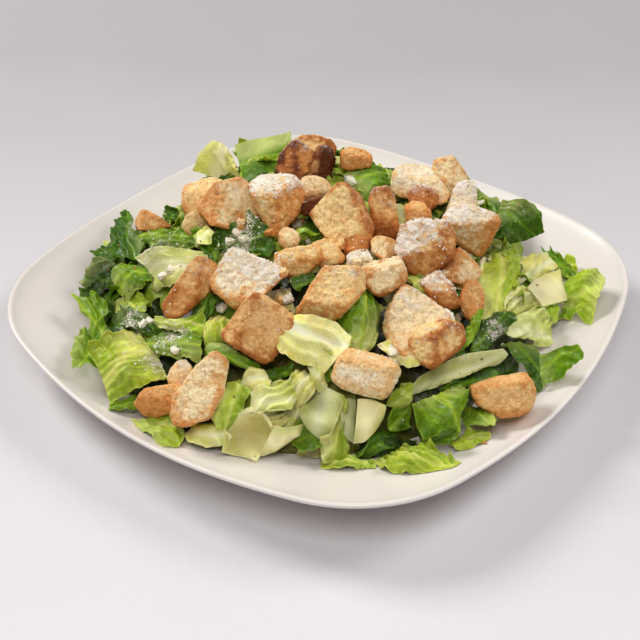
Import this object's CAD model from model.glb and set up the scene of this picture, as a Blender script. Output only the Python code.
import math

import bpy
import numpy as np
from mathutils import Matrix, Vector, noise
from mathutils.bvhtree import BVHTree


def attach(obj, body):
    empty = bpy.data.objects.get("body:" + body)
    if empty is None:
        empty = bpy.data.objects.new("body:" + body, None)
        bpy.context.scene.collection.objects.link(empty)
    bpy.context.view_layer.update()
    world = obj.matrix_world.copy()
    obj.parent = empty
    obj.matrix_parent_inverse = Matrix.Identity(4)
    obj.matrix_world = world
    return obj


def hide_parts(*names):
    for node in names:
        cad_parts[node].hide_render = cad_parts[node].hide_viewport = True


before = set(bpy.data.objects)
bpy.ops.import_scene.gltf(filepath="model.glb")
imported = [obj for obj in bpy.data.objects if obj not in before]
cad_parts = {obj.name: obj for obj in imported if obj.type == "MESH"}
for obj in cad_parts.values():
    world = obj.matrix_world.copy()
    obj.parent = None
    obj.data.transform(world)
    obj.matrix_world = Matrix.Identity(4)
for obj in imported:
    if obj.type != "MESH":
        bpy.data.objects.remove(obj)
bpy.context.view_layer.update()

# ---- camera ---------------------------------------------------------------------------
# A diner's eye, half a metre from a plate that has been set down with one corner
# towards them. Places on the food are given as this diner sees them, in millimetres.
SERVING_TURN = math.radians(36.8)
EYE_ELEVATION = math.radians(37.2)
EYE_DISTANCE = 498.0
EYE_AIM = np.array([-1.7, 3.2, 0.0])
EYE_ROLL = math.radians(0.36)
LENS_MM = 59.5

turned = np.array([
    [math.cos(SERVING_TURN), -math.sin(SERVING_TURN), 0.0],
    [math.sin(SERVING_TURN), math.cos(SERVING_TURN), 0.0],
    [0.0, 0.0, 1.0],
])


def in_row(points):
    """Diner's millimetres to metres in the plate's own axes."""
    return np.asarray(points, float) @ turned.T * 0.001


eye_back = np.array([0.0, -math.cos(EYE_ELEVATION), math.sin(EYE_ELEVATION)])
eye = bpy.data.cameras.new("diner_eye")
eye.lens = LENS_MM
eye.sensor_width = 36.0
eye.clip_start = 0.01
eye.clip_end = 20.0
eye_holder = bpy.data.objects.new("diner_eye", eye)
eye_holder.location = Vector(in_row(EYE_AIM + eye_back * EYE_DISTANCE))
looking = Vector(in_row(-eye_back)).to_track_quat("-Z", "Y")
eye_holder.rotation_mode = "QUATERNION"
eye_holder.rotation_quaternion = looking @ Matrix.Rotation(EYE_ROLL, 4, "Z").to_quaternion()
bpy.context.scene.collection.objects.link(eye_holder)
bpy.context.scene.camera = eye_holder

# ---- table and light ------------------------------------------------------------------
# A plain pale table top between two broad soft boxes, the stronger one at the left and a
# little behind, with a weak fill from the diner's side, so that shadows are faint.
TABLE_NEAR = (0.80, 0.77, 0.79)
TABLE_FAR = (0.46, 0.445, 0.452)
LEFT_POWER = 21.5
RIGHT_POWER = 10.5
FRONT_POWER = 11.0
ROOM_GREY = 0.15

table_mesh = bpy.data.meshes.new("table_top")
table_mesh.from_pydata([(-3, -3, 0), (3, -3, 0), (3, 3, 0), (-3, 3, 0)], [], [(0, 1, 2, 3)])
table_top = bpy.data.objects.new("table_top", table_mesh)
bpy.context.scene.collection.objects.link(table_top)


class Finish:
    """A procedural material: its node tree with short ways to add and join nodes."""

    def __init__(self, name):
        self.material = bpy.data.materials.new(name)
        self.material.use_nodes = True
        self.tree = self.material.node_tree
        self.shader = self.tree.nodes["Principled BSDF"]

    def add(self, kind, settings=None, **inputs):
        node = self.tree.nodes.new(kind)
        for key, value in (settings or {}).items():
            setattr(node, key, value)
        for key, value in inputs.items():
            self.feed(node.inputs[key.replace("_", " ")], value)
        return node

    def feed(self, socket, value):
        if isinstance(value, bpy.types.NodeSocket):
            self.tree.links.new(value, socket)
        else:
            socket.default_value = value

    def grain(self, size_mm, detail=3.0, roughness=0.55, distortion=0.0):
        """Noise whose features are about size_mm across."""
        where = self.add("ShaderNodeTexCoord").outputs["Object"]
        node = self.add("ShaderNodeTexNoise", Scale=1000.0 / size_mm, Detail=detail,
                        Roughness=roughness, Distortion=distortion, Vector=where)
        return node.outputs["Fac"]

    def creases(self, size_mm):
        """Sharp ridges with smooth ground between them, about size_mm apart."""
        where = self.add("ShaderNodeTexCoord").outputs["Object"]
        ridged = {"noise_type": "RIDGED_MULTIFRACTAL", "normalize": True}
        node = self.add("ShaderNodeTexNoise", ridged, Scale=1000.0 / size_mm, Detail=2.0,
                        Roughness=0.5, Lacunarity=2.2, Vector=where)
        return node.outputs["Fac"]

    def ramp(self, value, stops, smooth=True):
        node = self.add("ShaderNodeValToRGB", Fac=value)
        bar = node.color_ramp
        bar.interpolation = "EASE" if smooth else "LINEAR"
        while len(bar.elements) < len(stops):
            bar.elements.new(0.5)
        for element, (place, colour) in zip(bar.elements, stops):
            element.position = place
            element.color = (*colour, 1.0)
        return node.outputs["Color"]

    def wired(self, kind, settings, places, values):
        """A node whose numbered inputs are fed one by one: its outputs."""
        node = self.add(kind, settings)
        for place, value in zip(places, values):
            self.feed(node.inputs[place], value)
        return node.outputs

    def spread(self, value, low, high, to_low=0.0, to_high=1.0):
        stops = (value, low, high, to_low, to_high)
        return self.wired("ShaderNodeMapRange", {"clamp": True}, range(5), stops)[0]

    def reckon(self, how, first, second):
        return self.wired("ShaderNodeMath", {"operation": how}, (0, 1), (first, second))[0]

    def times(self, first, second):
        return self.reckon("MULTIPLY", first, second)

    def blend(self, share, first, second, how="MIX"):
        mixing = {"data_type": "RGBA", "blend_type": how}
        return self.wired("ShaderNodeMix", mixing, (0, 6, 7), (share, first, second))[2]

    def grey(self, *channels):
        """One number a channel, as a colour."""
        reds, greens, blues = channels * 3 if len(channels) == 1 else channels
        return self.add("ShaderNodeCombineColor", {"mode": "RGB"}, Red=reds, Green=greens,
                        Blue=blues).outputs[0]

    def relief(self, height, depth_mm, strength=1.0, under=None):
        node = self.add("ShaderNodeBump", Strength=strength, Distance=depth_mm * 0.001,
                        Height=height)
        if under is not None:
            self.feed(node.inputs["Normal"], under)
        return node.outputs["Normal"]

    def varied(self, size_mm, detail, to_low, to_high):
        """A number that wanders from one value to another over about size_mm."""
        return self.spread(self.grain(size_mm, detail), 0.3, 0.7, to_low, to_high)

    def grained(self, size_mm, detail, depth_mm, strength, under=None):
        return self.relief(self.grain(size_mm, detail), depth_mm, strength, under)

    def dusted(self, thickness):
        """A fine powder's cover, 0 or 1 grain by grain, from how thickly it lies."""
        grains = self.spread(self.grain(0.5, 2, 0.6), 0.3, 0.7)
        drifted = self.times(self.varied(3.2, 3, 0.4, 1.3), thickness)
        lying = self.reckon("ADD", self.times(grains, 0.8), drifted)
        return self.spread(lying, 0.88, 1.22, 0.0, 0.96)

    def set(self, **values):
        for key, value in values.items():
            self.feed(self.shader.inputs[key.replace("_", " ")], value)
        return self.material


def linear(red, green, blue):
    """A colour as the eye names it, 0 to 255, to the light it sends back."""
    shares = np.array([red, green, blue], float) / 255
    low = shares / 12.92
    high = ((shares + 0.055) / 1.055) ** 2.4
    return tuple(float(v) for v in np.where(shares <= 0.04045, low, high))


cloth = Finish("table_cloth")
# the far part of the table is a little duller than the near part
cloth_where = cloth.add("ShaderNodeTexCoord").outputs["Object"]
away_from_diner = (-math.sin(SERVING_TURN), math.cos(SERVING_TURN), 0.0)
cloth_far = cloth.wired("ShaderNodeVectorMath", {"operation": "DOT_PRODUCT"}, (0, 1),
                        (cloth_where, away_from_diner))["Value"]
cloth_mix = cloth.reckon("ADD", cloth.spread(cloth_far, -0.22, 0.3),
                         cloth.varied(120, 2, -0.04, 0.04))
table_mesh.materials.append(cloth.set(
    Base_Color=cloth.ramp(cloth_mix, [(0.0, TABLE_NEAR), (1.0, TABLE_FAR)], smooth=False),
    Roughness=0.9,
    Normal=cloth.grained(0.9, 4, 0.25, 0.5),
))


def soft_light(name, place, aim, width, power, colour):
    lamp = bpy.data.lights.new(name, "AREA")
    lamp.shape = "DISK"
    lamp.size = width
    lamp.energy = power
    lamp.color = colour
    holder = bpy.data.objects.new(name, lamp)
    holder.location = Vector(in_row(place))
    aim_row = Vector(in_row(aim))
    holder.rotation_mode = "QUATERNION"
    holder.rotation_quaternion = (aim_row - holder.location).to_track_quat("-Z", "Y")
    bpy.context.scene.collection.objects.link(holder)


LAMP_AIM = (0, 0, 20)
soft_light("left_box", (-1150, 700, 1250), LAMP_AIM, 0.75, LEFT_POWER, (1.0, 0.985, 0.965))
soft_light("right_box", (1150, 350, 1150), LAMP_AIM, 0.75, RIGHT_POWER, (1.0, 0.985, 0.975))
soft_light("front_fill", (-100, -850, 1450), (0, -60, 20), 0.9, FRONT_POWER, (1.0, 0.99, 0.985))
room = bpy.data.worlds.new("room")
room.use_nodes = True
walls = room.node_tree.nodes["Background"].inputs
walls["Color"].default_value = (1.0, 0.985, 0.98, 1.0)
walls["Strength"].default_value = ROOM_GREY
bpy.context.scene.world = room
bpy.context.scene.view_settings.view_transform = "Standard"

# ---- plate ----------------------------------------------------------------------------
# A rounded-square coupe plate of white glazed stoneware: a flat well that rises in one
# sweep to a thin rolled lip, standing on a foot ring. Slip-cast or pressed in one piece.
PLATE_HALF_FLATS = 125.0
PLATE_SIDE_RADIUS = 261.0
PLATE_CORNER_RADIUS = 62.0
PLATE_RIM_HEIGHT = 25.0
PLATE_CORNER_LIFT = 1.8
PLATE_WELL_HEIGHT = 5.0
PLATE_WELL_SHARE = 0.5
PLATE_RISE_POWER = 1.8
PLATE_WALL = 4.2
PLATE_FOOT_DEPTH = 1.2
PLATE_SECTORS = 224

side_centre = PLATE_SIDE_RADIUS - PLATE_HALF_FLATS
radius_step = PLATE_SIDE_RADIUS - PLATE_CORNER_RADIUS
corner_centre = (math.sqrt(2 * radius_step ** 2 - side_centre ** 2) - side_centre) / 2
join_slope = math.atan2(corner_centre, side_centre + corner_centre)
join_angle = math.atan2(
    PLATE_SIDE_RADIUS * math.sin(join_slope),
    PLATE_SIDE_RADIUS * math.cos(join_slope) - side_centre,
)


def plate_reach(angle):
    quarter = math.pi / 2
    from_flat = angle - quarter * np.round(angle / quarter)
    flat_along = side_centre * np.cos(from_flat)
    on_flat = -flat_along + np.sqrt(flat_along ** 2 + PLATE_SIDE_RADIUS ** 2 - side_centre ** 2)
    corner_along = corner_centre * (np.cos(from_flat) + np.abs(np.sin(from_flat)))
    inside = corner_along ** 2 - 2 * corner_centre ** 2 + PLATE_CORNER_RADIUS ** 2
    on_corner = corner_along + np.sqrt(np.maximum(inside, 0))
    return np.where(np.abs(from_flat) < join_angle, on_flat, on_corner)


def rim_height(angle):
    return PLATE_RIM_HEIGHT - PLATE_CORNER_LIFT * np.cos(4 * angle)


def well_height(share, angle):
    rise = np.maximum(0, (share - PLATE_WELL_SHARE) / (1 - PLATE_WELL_SHARE))
    return PLATE_WELL_HEIGHT + (rim_height(angle) - PLATE_WELL_HEIGHT) * rise ** PLATE_RISE_POWER


def glide(controls, steps):
    """Points along a smooth curve through controls, an array of any width."""
    made = []
    for k in range(1, len(controls) - 2):
        p0, p1, p2, p3 = controls[k - 1:k + 3]
        for s in np.arange(steps) / steps:
            made.append(0.5 * (2 * p1 + (p2 - p0) * s + (2 * p0 - 5 * p1 + 4 * p2 - p3) * s ** 2
                               + (3 * p1 - p0 - 3 * p2 + p3) * s ** 3))
    made.append(controls[-2])
    return made


def mesh_piece(name, points, faces, material, tints=None, smooth=True, crisp=None, flesh=None):
    """A mesh object from points in metres and triangles or quads, with vertex colours, with
    hard shading along edges whose two points are crisp, and how fleshy each point is."""
    mesh = bpy.data.meshes.new(name)
    faces = np.asarray(faces, np.int32)
    mesh.vertices.add(len(points))
    mesh.vertices.foreach_set("co", np.asarray(points, np.float32).ravel())
    mesh.loops.add(faces.size)
    mesh.loops.foreach_set("vertex_index", faces.ravel())
    mesh.polygons.add(len(faces))
    starts = np.arange(len(faces), dtype=np.int32) * faces.shape[1]
    mesh.polygons.foreach_set("loop_start", starts)
    mesh.update(calc_edges=True)
    mesh.polygons.foreach_set("use_smooth", np.full(len(faces), smooth))
    if crisp is not None:
        pairs = np.empty(len(mesh.edges) * 2, np.int32)
        mesh.edges.foreach_get("vertices", pairs)
        hard = crisp[pairs.reshape(-1, 2)].all(axis=1)
        mesh.attributes.new("sharp_edge", "BOOLEAN", "EDGE").data.foreach_set("value", hard)
    if tints is not None:
        paint = mesh.color_attributes.new("tint", "FLOAT_COLOR", "POINT")
        paint.data.foreach_set("color", np.asarray(tints, np.float32).ravel())
    if flesh is not None:
        fleshy = mesh.attributes.new("flesh", "FLOAT", "POINT")
        fleshy.data.foreach_set("value", np.asarray(flesh, np.float32))
    mesh.materials.append(material)
    piece = bpy.data.objects.new(name, mesh)
    bpy.context.scene.collection.objects.link(piece)
    return piece


def ring_quads(rings, sectors):
    """Quads between neighbouring rings of points that each go once round."""
    here = np.arange(rings - 1)[:, None] * sectors + np.arange(sectors)
    beside = np.arange(rings - 1)[:, None] * sectors + np.roll(np.arange(sectors), -1)
    return np.stack([here, here + sectors, beside + sectors, beside], -1).reshape(-1, 4)


def fan_quads(middle, start, sectors, downward):
    """Slim quads from the ring that begins at start to one middle point."""
    evens = np.arange(0, sectors, 2)
    fan = start + np.stack([evens, evens + 1, (evens + 2) % sectors], 1)
    return np.column_stack([np.full(len(evens), middle), fan[:, ::-1] if downward else fan])


turn_angles = np.arange(PLATE_SECTORS) / PLATE_SECTORS * 2 * math.pi
on_top = [(s, well_height(s, turn_angles)) for s in np.linspace(0.08, 0.945, 34)]
lip = [(s, well_height(s, turn_angles) + up) for s, up in ((0.962, 0.1), (0.976, 0.35))]
lip += [(s, rim_height(turn_angles) - down) for s, down in (
    (0.987, 0.25), (0.9945, 0.15), (0.9985, 0.5), (0.9995, 1.1), (0.995, 1.9), (0.977, 3.5),
)]
underneath = [(s, well_height(s, turn_angles) - PLATE_WALL) for s in np.linspace(0.94, 0.63, 14)]
foot = [(s, np.full(PLATE_SECTORS, up)) for s, up in (
    (0.607, 1.2), (0.602, 0.35), (0.593, 0.0), (0.557, 0.0), (0.549, 0.3),
    (0.541, PLATE_FOOT_DEPTH), (0.5, PLATE_FOOT_DEPTH),
)]
profile = on_top + lip + underneath + foot
profile_rows = [np.concatenate([[share], height]) for share, height in profile]
profile_rows = np.array(glide([profile_rows[0], *profile_rows, profile_rows[-1]], 2))
plate_points = []
for row in profile_rows:
    reach = row[0] * plate_reach(turn_angles)
    around = (reach * np.cos(turn_angles), reach * np.sin(turn_angles), row[1:])
    plate_points.append(np.stack(around, 1))
plate_points = np.concatenate(plate_points)
plate_points[:, 2] = np.maximum(plate_points[:, 2], 0)
middle_top = len(plate_points)
plate_quads = np.vstack([
    ring_quads(len(profile_rows), PLATE_SECTORS),
    fan_quads(middle_top, 0, PLATE_SECTORS, False),
    fan_quads(middle_top + 1, middle_top - PLATE_SECTORS, PLATE_SECTORS, True),
])
plate_points = np.vstack([
    plate_points, [[0, 0, PLATE_WELL_HEIGHT]], [[0, 0, PLATE_FOOT_DEPTH]],
])

glaze = Finish("white_glaze")
glaze_white = glaze.ramp(glaze.grain(90, 3), [
    (0.3, linear(230, 221, 214)),
    (0.7, linear(236, 228, 222)),
])
glaze.set(
    Base_Color=glaze_white,
    Roughness=glaze.varied(14, 3, 0.32, 0.42),
    Normal=glaze.grained(22, 2, 0.35, 0.2),
    Coat_Weight=0.25,
    Coat_Roughness=0.25,
)
plate = mesh_piece("plate_glazed", plate_points * 0.001, plate_quads, glaze.material)
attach(plate, "root")
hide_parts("plate")

# ---- romaine --------------------------------------------------------------------------
# Chopped romaine, dressed and heaped on the plate: knife-cut pieces of blade and of the
# thick pale rib, each a thin waved sheet, laid one over another on a packed middle.
HEAP_MIDDLE_Y = 12.0
HEAP_HEIGHT = 43.0
HEAP_SHOULDER = 0.85
HEAP_REACH = np.array([
    102, 101, 98, 94, 90, 92, 94, 99, 105, 108, 115, 120, 113, 109, 103, 101.0,
])
HEAP_HUMPS = [(-2, 62, 9, 17), (58, 44, 6, 16), (-40, 61, 10, 15)]


def plate_surface(x, y):
    angle = np.arctan2(y, x) + SERVING_TURN
    return well_height(np.hypot(x, y) / plate_reach(angle), angle)


def heap_reach(angle):
    count = len(HEAP_REACH)
    place = (angle / (2 * math.pi) * count) % count
    index = np.floor(place).astype(int)
    blend = (1 - np.cos(math.pi * (place - index))) / 2
    return HEAP_REACH[index % count] * (1 - blend) + HEAP_REACH[(index + 1) % count] * blend


def heap_top(x, y):
    out = y - HEAP_MIDDLE_Y
    share = np.minimum(1, np.hypot(x, out) / heap_reach(np.arctan2(out, x)))
    height = HEAP_HEIGHT * (1 - share ** 3) ** HEAP_SHOULDER
    for hump_x, hump_y, hump_height, hump_spread in HEAP_HUMPS:
        away = ((x - hump_x) ** 2 + (y - hump_y) ** 2) / (2 * hump_spread ** 2)
        height = height + hump_height * np.exp(-away)
    return plate_surface(x, y) + height


def heap_normal(x, y):
    step = 4.0
    slope_x = (heap_top(x + step, y) - heap_top(x - step, y)) / (2 * step)
    slope_y = (heap_top(x, y + step) - heap_top(x, y - step)) / (2 * step)
    normal = np.array([-slope_x, -slope_y, 1.0])
    return normal / np.linalg.norm(normal)


def drift(points, size, seed):
    """A smooth random value, mostly within -1 to 1, that changes over size millimetres."""
    chance = np.random.default_rng(seed)
    total = np.zeros(len(points))
    for _ in range(7):
        way = chance.normal(size=3)
        way *= 2 * math.pi / (np.linalg.norm(way) * size * chance.uniform(0.7, 1.6))
        total += np.sin(points @ way + chance.uniform(0, 2 * math.pi))
    return total / 2.6


def vein_net(flat, gap, chance):
    """How far each place on a blade is from its net of veins: 0 on a vein, 1 between."""
    low = flat.min(0) - gap
    high = flat.max(0) + gap
    columns = np.arange(low[0], high[0], gap)
    rows = np.arange(low[1], high[1], gap * 0.8)
    middles = np.stack(np.meshgrid(columns, rows, indexing="ij"), -1).reshape(-1, 2)
    middles = middles + chance.uniform(-0.42, 0.42, middles.shape) * gap
    away = np.linalg.norm(flat[:, None] - middles[None], axis=2)
    nearest = np.partition(away, 1, axis=1)
    return np.clip((nearest[:, 1] - nearest[:, 0]) / (0.6 * gap), 0, 1)


# where grated cheese has landed thickest: middle x, y, spread, how many crumbs
CHEESE_DRIFTS = [
    (-12, 10, 6, 90), (-19, -37, 7, 90), (-35, -8, 6, 70), (-80, -46, 6, 60), (27, -72, 6, 60),
    (17, -27, 7, 130), (-75, -2, 9, 110), (-68, -66, 6, 60), (69, 24, 7, 90), (-24, 10, 9, 200),
    (-32, -36, 10, 180), (42, -17, 9, 120), (48, -34, 7, 110), (-62, -58, 9, 100),
    (-36, -10, 10, 90), (64, 4, 9, 80), (72, -40, 6, 50), (-82, -38, 7, 60),
]


def cheese_over(points):
    """How thickly the cheese dust lies, 0 to 1, at places in diner's millimetres."""
    thickness = np.zeros(len(points))
    for x, y, spread, _ in CHEESE_DRIFTS:
        away = ((points[:, 0] - x) ** 2 + (points[:, 1] - y) ** 2) / spread ** 2
        thickness = np.maximum(thickness, 0.75 * np.exp(-away))
    return thickness


# each kind: blade, vein and edge colour, how blistered, and the rib's share of the width
LEAF_KINDS = {
    "darkest": (linear(26, 62, 0), linear(70, 108, 14), linear(16, 44, 0), 0.8, 0.05),
    "dark": (linear(46, 90, 0), linear(104, 142, 24), linear(30, 70, 0), 0.8, 0.07),
    "mid": (linear(98, 142, 4), linear(160, 188, 52), linear(70, 116, 0), 0.9, 0.09),
    "light": (linear(166, 190, 34), linear(212, 220, 112), linear(124, 164, 10), 0.7, 0.13),
    "pale": (linear(224, 226, 120), linear(248, 244, 186), linear(182, 194, 54), 0.45, 0.26),
    "cream": (linear(248, 234, 134), linear(255, 248, 196), linear(226, 220, 84), 0.6, 0.2),
    "rib": (linear(216, 214, 126), linear(242, 240, 182), linear(170, 176, 68), 0.1, 0.8),
}
FOOT_TONE = np.array(linear(226, 227, 150))
LIP_START = 0.68
BLADE_THICK = 0.32
RIB_THICK = 2.3
OVER_PLATE = 0.3
CRUMPLES = 6
UNDERSIDE_DULL = 0.8
WET_EDGE = 0.45


def soft_fold(distance, reach):
    """A crease: flat far off on both sides, rounded over reach at the line itself."""
    return np.sqrt(distance ** 2 + reach ** 2) - reach


def walk(side, following, count):
    """Evenly spaced places along a side that runs on to the next side's corner."""
    corners = np.array([*side, following[0]], float)
    gone = np.concatenate([[0], np.cumsum(np.linalg.norm(np.diff(corners, axis=0), axis=1))])
    places = np.linspace(0, gone[-1], count + 1)
    path = np.stack([np.interp(places, gone, corners[:, k]) for k in (0, 1)], 1)
    for _ in range(2):
        path[1:-1] = 0.5 * path[1:-1] + 0.25 * (path[:-2] + path[2:])
    return path


def spanned(cut, steps_u, steps_t):
    """A grid of flat places that fills a four-sided outline."""
    south, east = walk(cut[0], cut[1], steps_u), walk(cut[1], cut[2], steps_t)
    north, west = walk(cut[2], cut[3], steps_u)[::-1], walk(cut[3], cut[0], steps_t)[::-1]
    a = np.linspace(0, 1, steps_u + 1)[:, None, None]
    b = np.linspace(0, 1, steps_t + 1)[None, :, None]
    flat = (1 - b) * south[:, None] + b * north[:, None] + (1 - a) * west[None] + a * east[None]
    flat = flat - (1 - a) * (1 - b) * south[0] - a * (1 - b) * south[-1]
    flat = flat - a * b * north[-1] - (1 - a) * b * north[0]
    for _ in range(25):
        beside = flat[:-2, 1:-1] + flat[2:, 1:-1] + flat[1:-1, :-2] + flat[1:-1, 2:]
        flat[1:-1, 1:-1] = 0.25 * beside
    return flat


def bent_across(flat_y, turning):
    """A strip that keeps its width while it turns: sideways and upward from its middle,
    drawn out again so that it reaches as far to both sides as it did flat."""
    middle = flat_y.shape[1] // 2
    steps = np.diff(flat_y, axis=1)
    halfway = (turning[:, 1:] + turning[:, :-1]) / 2
    side = np.zeros_like(flat_y)
    rise = np.zeros_like(flat_y)
    side[:, 1:] = np.cumsum(steps * np.cos(halfway), axis=1)
    rise[:, 1:] = np.cumsum(steps * np.sin(halfway), axis=1)
    side -= side[:, middle:middle + 1]
    rise -= rise[:, middle:middle + 1]
    for part in (slice(0, middle), slice(middle + 1, None)):
        wanted = np.abs(flat_y[:, part] - flat_y[:, middle:middle + 1]).max(axis=1)
        had = np.maximum(np.abs(side[:, part]).max(axis=1), 1e-6)
        side[:, part] *= np.clip(wanted / had, 1, 1.5)[:, None]
    return side + flat_y[:, middle:middle + 1], rise


def corners_of(text, unit):
    """Corners x, y in millimetres from a text that gives them in units."""
    return np.array(text.split(), float).reshape(-1, 2) / unit


def leaf_sheet(leaf, seed, cell, width=0.0):
    """One leaf piece as a closed thin sheet, cut to its outline or plainly to a width:
    points in diner's millimetres, quads, colours, which points are on its cut edge, and how
    fleshy each is."""
    start, end, roll, arch, curl, ruffle, kind, own, outline = leaf
    chance = np.random.default_rng(seed)
    first, last = (np.array([x, y, heap_top(x, y) + up]) for x, y, up in (start, end))
    middle = (first + last) / 2
    length = np.linalg.norm(last - first)
    along = (last - first) / length
    upright = heap_normal(middle[0], middle[1])
    upright -= along * (upright @ along)
    upright /= np.linalg.norm(upright)
    across = np.cross(upright, along)
    tip = math.radians(roll)
    across, upright = (
        across * math.cos(tip) + upright * math.sin(tip),
        upright * math.cos(tip) - across * math.sin(tip),
    )
    middle = middle + upright * own.get("raised", 0.0)
    *tones, blistered, rib_share = LEAF_KINDS[kind]
    blade, vein, edge = np.array(tones)
    rib_share = own.get("rib", rib_share)
    blistered = blistered * own.get("blisters", 1.0)
    # the outline: one side is the leaf's own waved margin; the knife has cut the others
    margin = own.get("margin", chance.choice([-1.0, 1.0]))
    x, y = length / 2, width / 2
    tapers = y * (0.75 + chance.uniform(-0.25, 0.25, 4))
    slant = chance.uniform(-0.22, 0.22) * width
    cut = [
        [(-x + slant, -tapers[0]), (0, -y)],
        [(x - slant, -tapers[1])],
        [(x + slant, tapers[2]), (0, y)],
        [(-x - slant, tapers[3])],
    ]
    if outline:
        cut = [corners_of(side, 10) for side in outline.split("/")]
    corners = np.array([corner for side in cut for corner in side])
    length, width = np.ptp(corners[:, 0]), np.ptp(corners[:, 1])
    steps_u = int(np.clip(round(length * 1.1 / cell), 10, 72))
    steps_t = int(np.clip(round(width * 1.1 / cell), 8, 52))
    steps = (np.linspace(-1, 1, count + 1) for count in (steps_u, steps_t))
    u, t = np.meshgrid(*steps, indexing="ij")
    shape = u.shape
    flat_grid = spanned(cut, steps_u, steps_t)
    wild = (0.2 if kind == "rib" else 1.0) * np.where(t * margin > 0, 1.0, 0.25)
    torn = own.get("torn", 1.0)
    flat = flat_grid.reshape(-1, 2)
    solid_flat = np.column_stack([flat, np.zeros(len(flat))])

    def wandering(size, number):
        return drift(solid_flat, size, seed + number).reshape(shape)

    ragged = (wandering(9, 1) * 0.55 + wandering(2.8, 2) * 0.3) * torn * wild
    end_rag = wandering(9, 3) * 0.3 + wandering(2.6, 4) * 0.18
    flat_grid[..., 1] += ragged * np.abs(t) ** 6 * np.sign(t)
    flat_grid[..., 0] += end_rag * torn * np.abs(u) ** 6 * np.sign(u)
    run = flat_grid[..., 0]
    phases = chance.uniform(0, 6, 6)
    often_rolled = {"light": 0.5, "pale": 0.6, "cream": 0.6, "rib": 0.0}.get(kind, 0.35)
    lip_turn = chance.uniform(40, 150) if chance.uniform() < often_rolled else 0.0
    lip_turn = math.radians(own.get("lip", lip_turn)) * chance.choice([-1, 1, 1])
    lip = np.clip((t * margin - LIP_START) / (1 - LIP_START), 0, 1)
    lip = lip ** 1.3 * lip_turn * margin * (0.75 + 0.4 * np.sin(2.3 * u + phases[3]))
    turning = math.radians(curl) * t * (1 + 0.45 * np.sin(1.9 * u + phases[4])) + lip
    side, rise = bent_across(flat_grid[..., 1], turning)
    waves = length / chance.uniform(9.0, 16.0)
    frill = np.sin(math.pi * waves * u + phases[0])
    frill += 0.45 * np.sin(math.pi * waves * 2.3 * u + phases[1])
    rise += arch * (1 - u ** 2)
    rise += ruffle * np.abs(t) ** 2.0 * frill * 0.85 * (0.3 + 0.7 * wild)
    # sharp pleats that run along the piece
    pleats = own.get("pleats", width / chance.uniform(8, 16))
    usual_pleat = 1.7 if "pleats" in own else 0.0 if kind == "rib" else chance.uniform(0.3, 1.1)
    pleat_height = own.get("pleat", usual_pleat)
    pleat_phase = math.pi * (pleats * t + chance.uniform(-0.4, 0.4) * u)
    pleat_phase = pleat_phase + 1.2 * wandering(14, 9)
    pleat = 1 - 1.6 * np.abs(np.sin(pleat_phase))
    rise += pleat_height * pleat
    rise += 0.05 * length * chance.uniform(0.3, 1) * np.sin(2.6 * u + phases[2])
    end_side = chance.choice([-1.0, 1.0])
    rise += chance.uniform(-1.5, 2.5) * np.clip((u * end_side - 0.5) / 0.5, 0, 1) ** 1.6
    crumpled = own.get("crumpled", 0.0 if kind == "rib" else 1.0)
    for _ in range(CRUMPLES):
        way = chance.uniform(0, math.pi)
        offset = chance.uniform(-0.35, 0.35) * min(length, width)
        from_crease = flat @ [math.cos(way), math.sin(way)] - offset
        rise += crumpled * chance.uniform(-0.32, 0.32) * soft_fold(from_crease, 0.25).reshape(shape)
    # the valley along the rib, the side veins that leave it, and the net between them
    from_rib = flat_grid[..., 1] - corners[:, 1].mean() - chance.uniform(-0.25, 0.25) * width / 2
    rib_width = max(0.8, rib_share * width * 0.5) * (1.15 - 0.45 * u)
    rib_mask = np.exp(-(from_rib / rib_width) ** 2)
    vein_gap = chance.uniform(4.5, 7.0)
    lean = chance.uniform(0.6, 1.1)
    wander = wandering(14, 5)
    out_along = (run - lean * np.abs(from_rib)) / vein_gap
    side_veins = np.abs(np.sin(math.pi * (out_along + 0.3 * wander)))
    stretched = flat * [1.0, 0.8]
    coarse = vein_net(stretched, chance.uniform(3.8, 5.4), chance).reshape(shape)
    fine = vein_net(stretched, 2.0, chance).reshape(shape)
    open_blade = 1 - rib_mask
    rise += blistered * open_blade * (0.5 * side_veins ** 0.6 + 0.5 * coarse ** 0.6 + 0.12 * fine)
    rise += 0.5 * wandering(16, 6)
    rise += crumpled * 0.22 * wandering(4, 8)
    rise += (0.5 if rib_share > 0.5 else -0.2) * rib_mask
    rise += 0.1 * rib_mask * np.sin(from_rib * 2 * math.pi / 1.5)
    upper = middle + run[..., None] * along + side[..., None] * across + rise[..., None] * upright
    thick = BLADE_THICK + rib_mask * (0.4 + RIB_THICK * rib_share) * (0.75 - 0.3 * u)
    normal = np.cross(np.gradient(upper, axis=0), np.gradient(upper, axis=1))
    normal /= np.maximum(np.linalg.norm(normal, axis=2, keepdims=True), 1e-9)
    lower = upper - normal * thick[..., None]
    count = u.size
    grid = np.arange(count).reshape(shape)
    faces = (grid[:-1, :-1], grid[1:, :-1], grid[1:, 1:], grid[:-1, 1:])
    a, b, c, d = (corner.ravel() for corner in faces)
    rim = np.concatenate([grid[0, :-1], grid[:-1, -1], grid[-1, :0:-1], grid[:0:-1, 0]])
    rim_next = np.roll(rim, -1)
    quads = np.concatenate([
        np.stack([a, b, c, d], 1),
        np.stack([a, d, c, b], 1) + count,
        np.stack([rim, rim_next, rim_next + count, rim + count], 1),
    ])
    on_rim = np.zeros(2 * count, bool)
    on_rim[rim] = on_rim[rim + count] = True
    points = np.concatenate([upper.reshape(-1, 3), lower.reshape(-1, 3)])
    floor_level = plate_surface(points[:, 0], points[:, 1]) + OVER_PLATE
    floor_level[:count] += thick.ravel()
    points[:, 2] = np.maximum(points[:, 2], floor_level)
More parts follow.
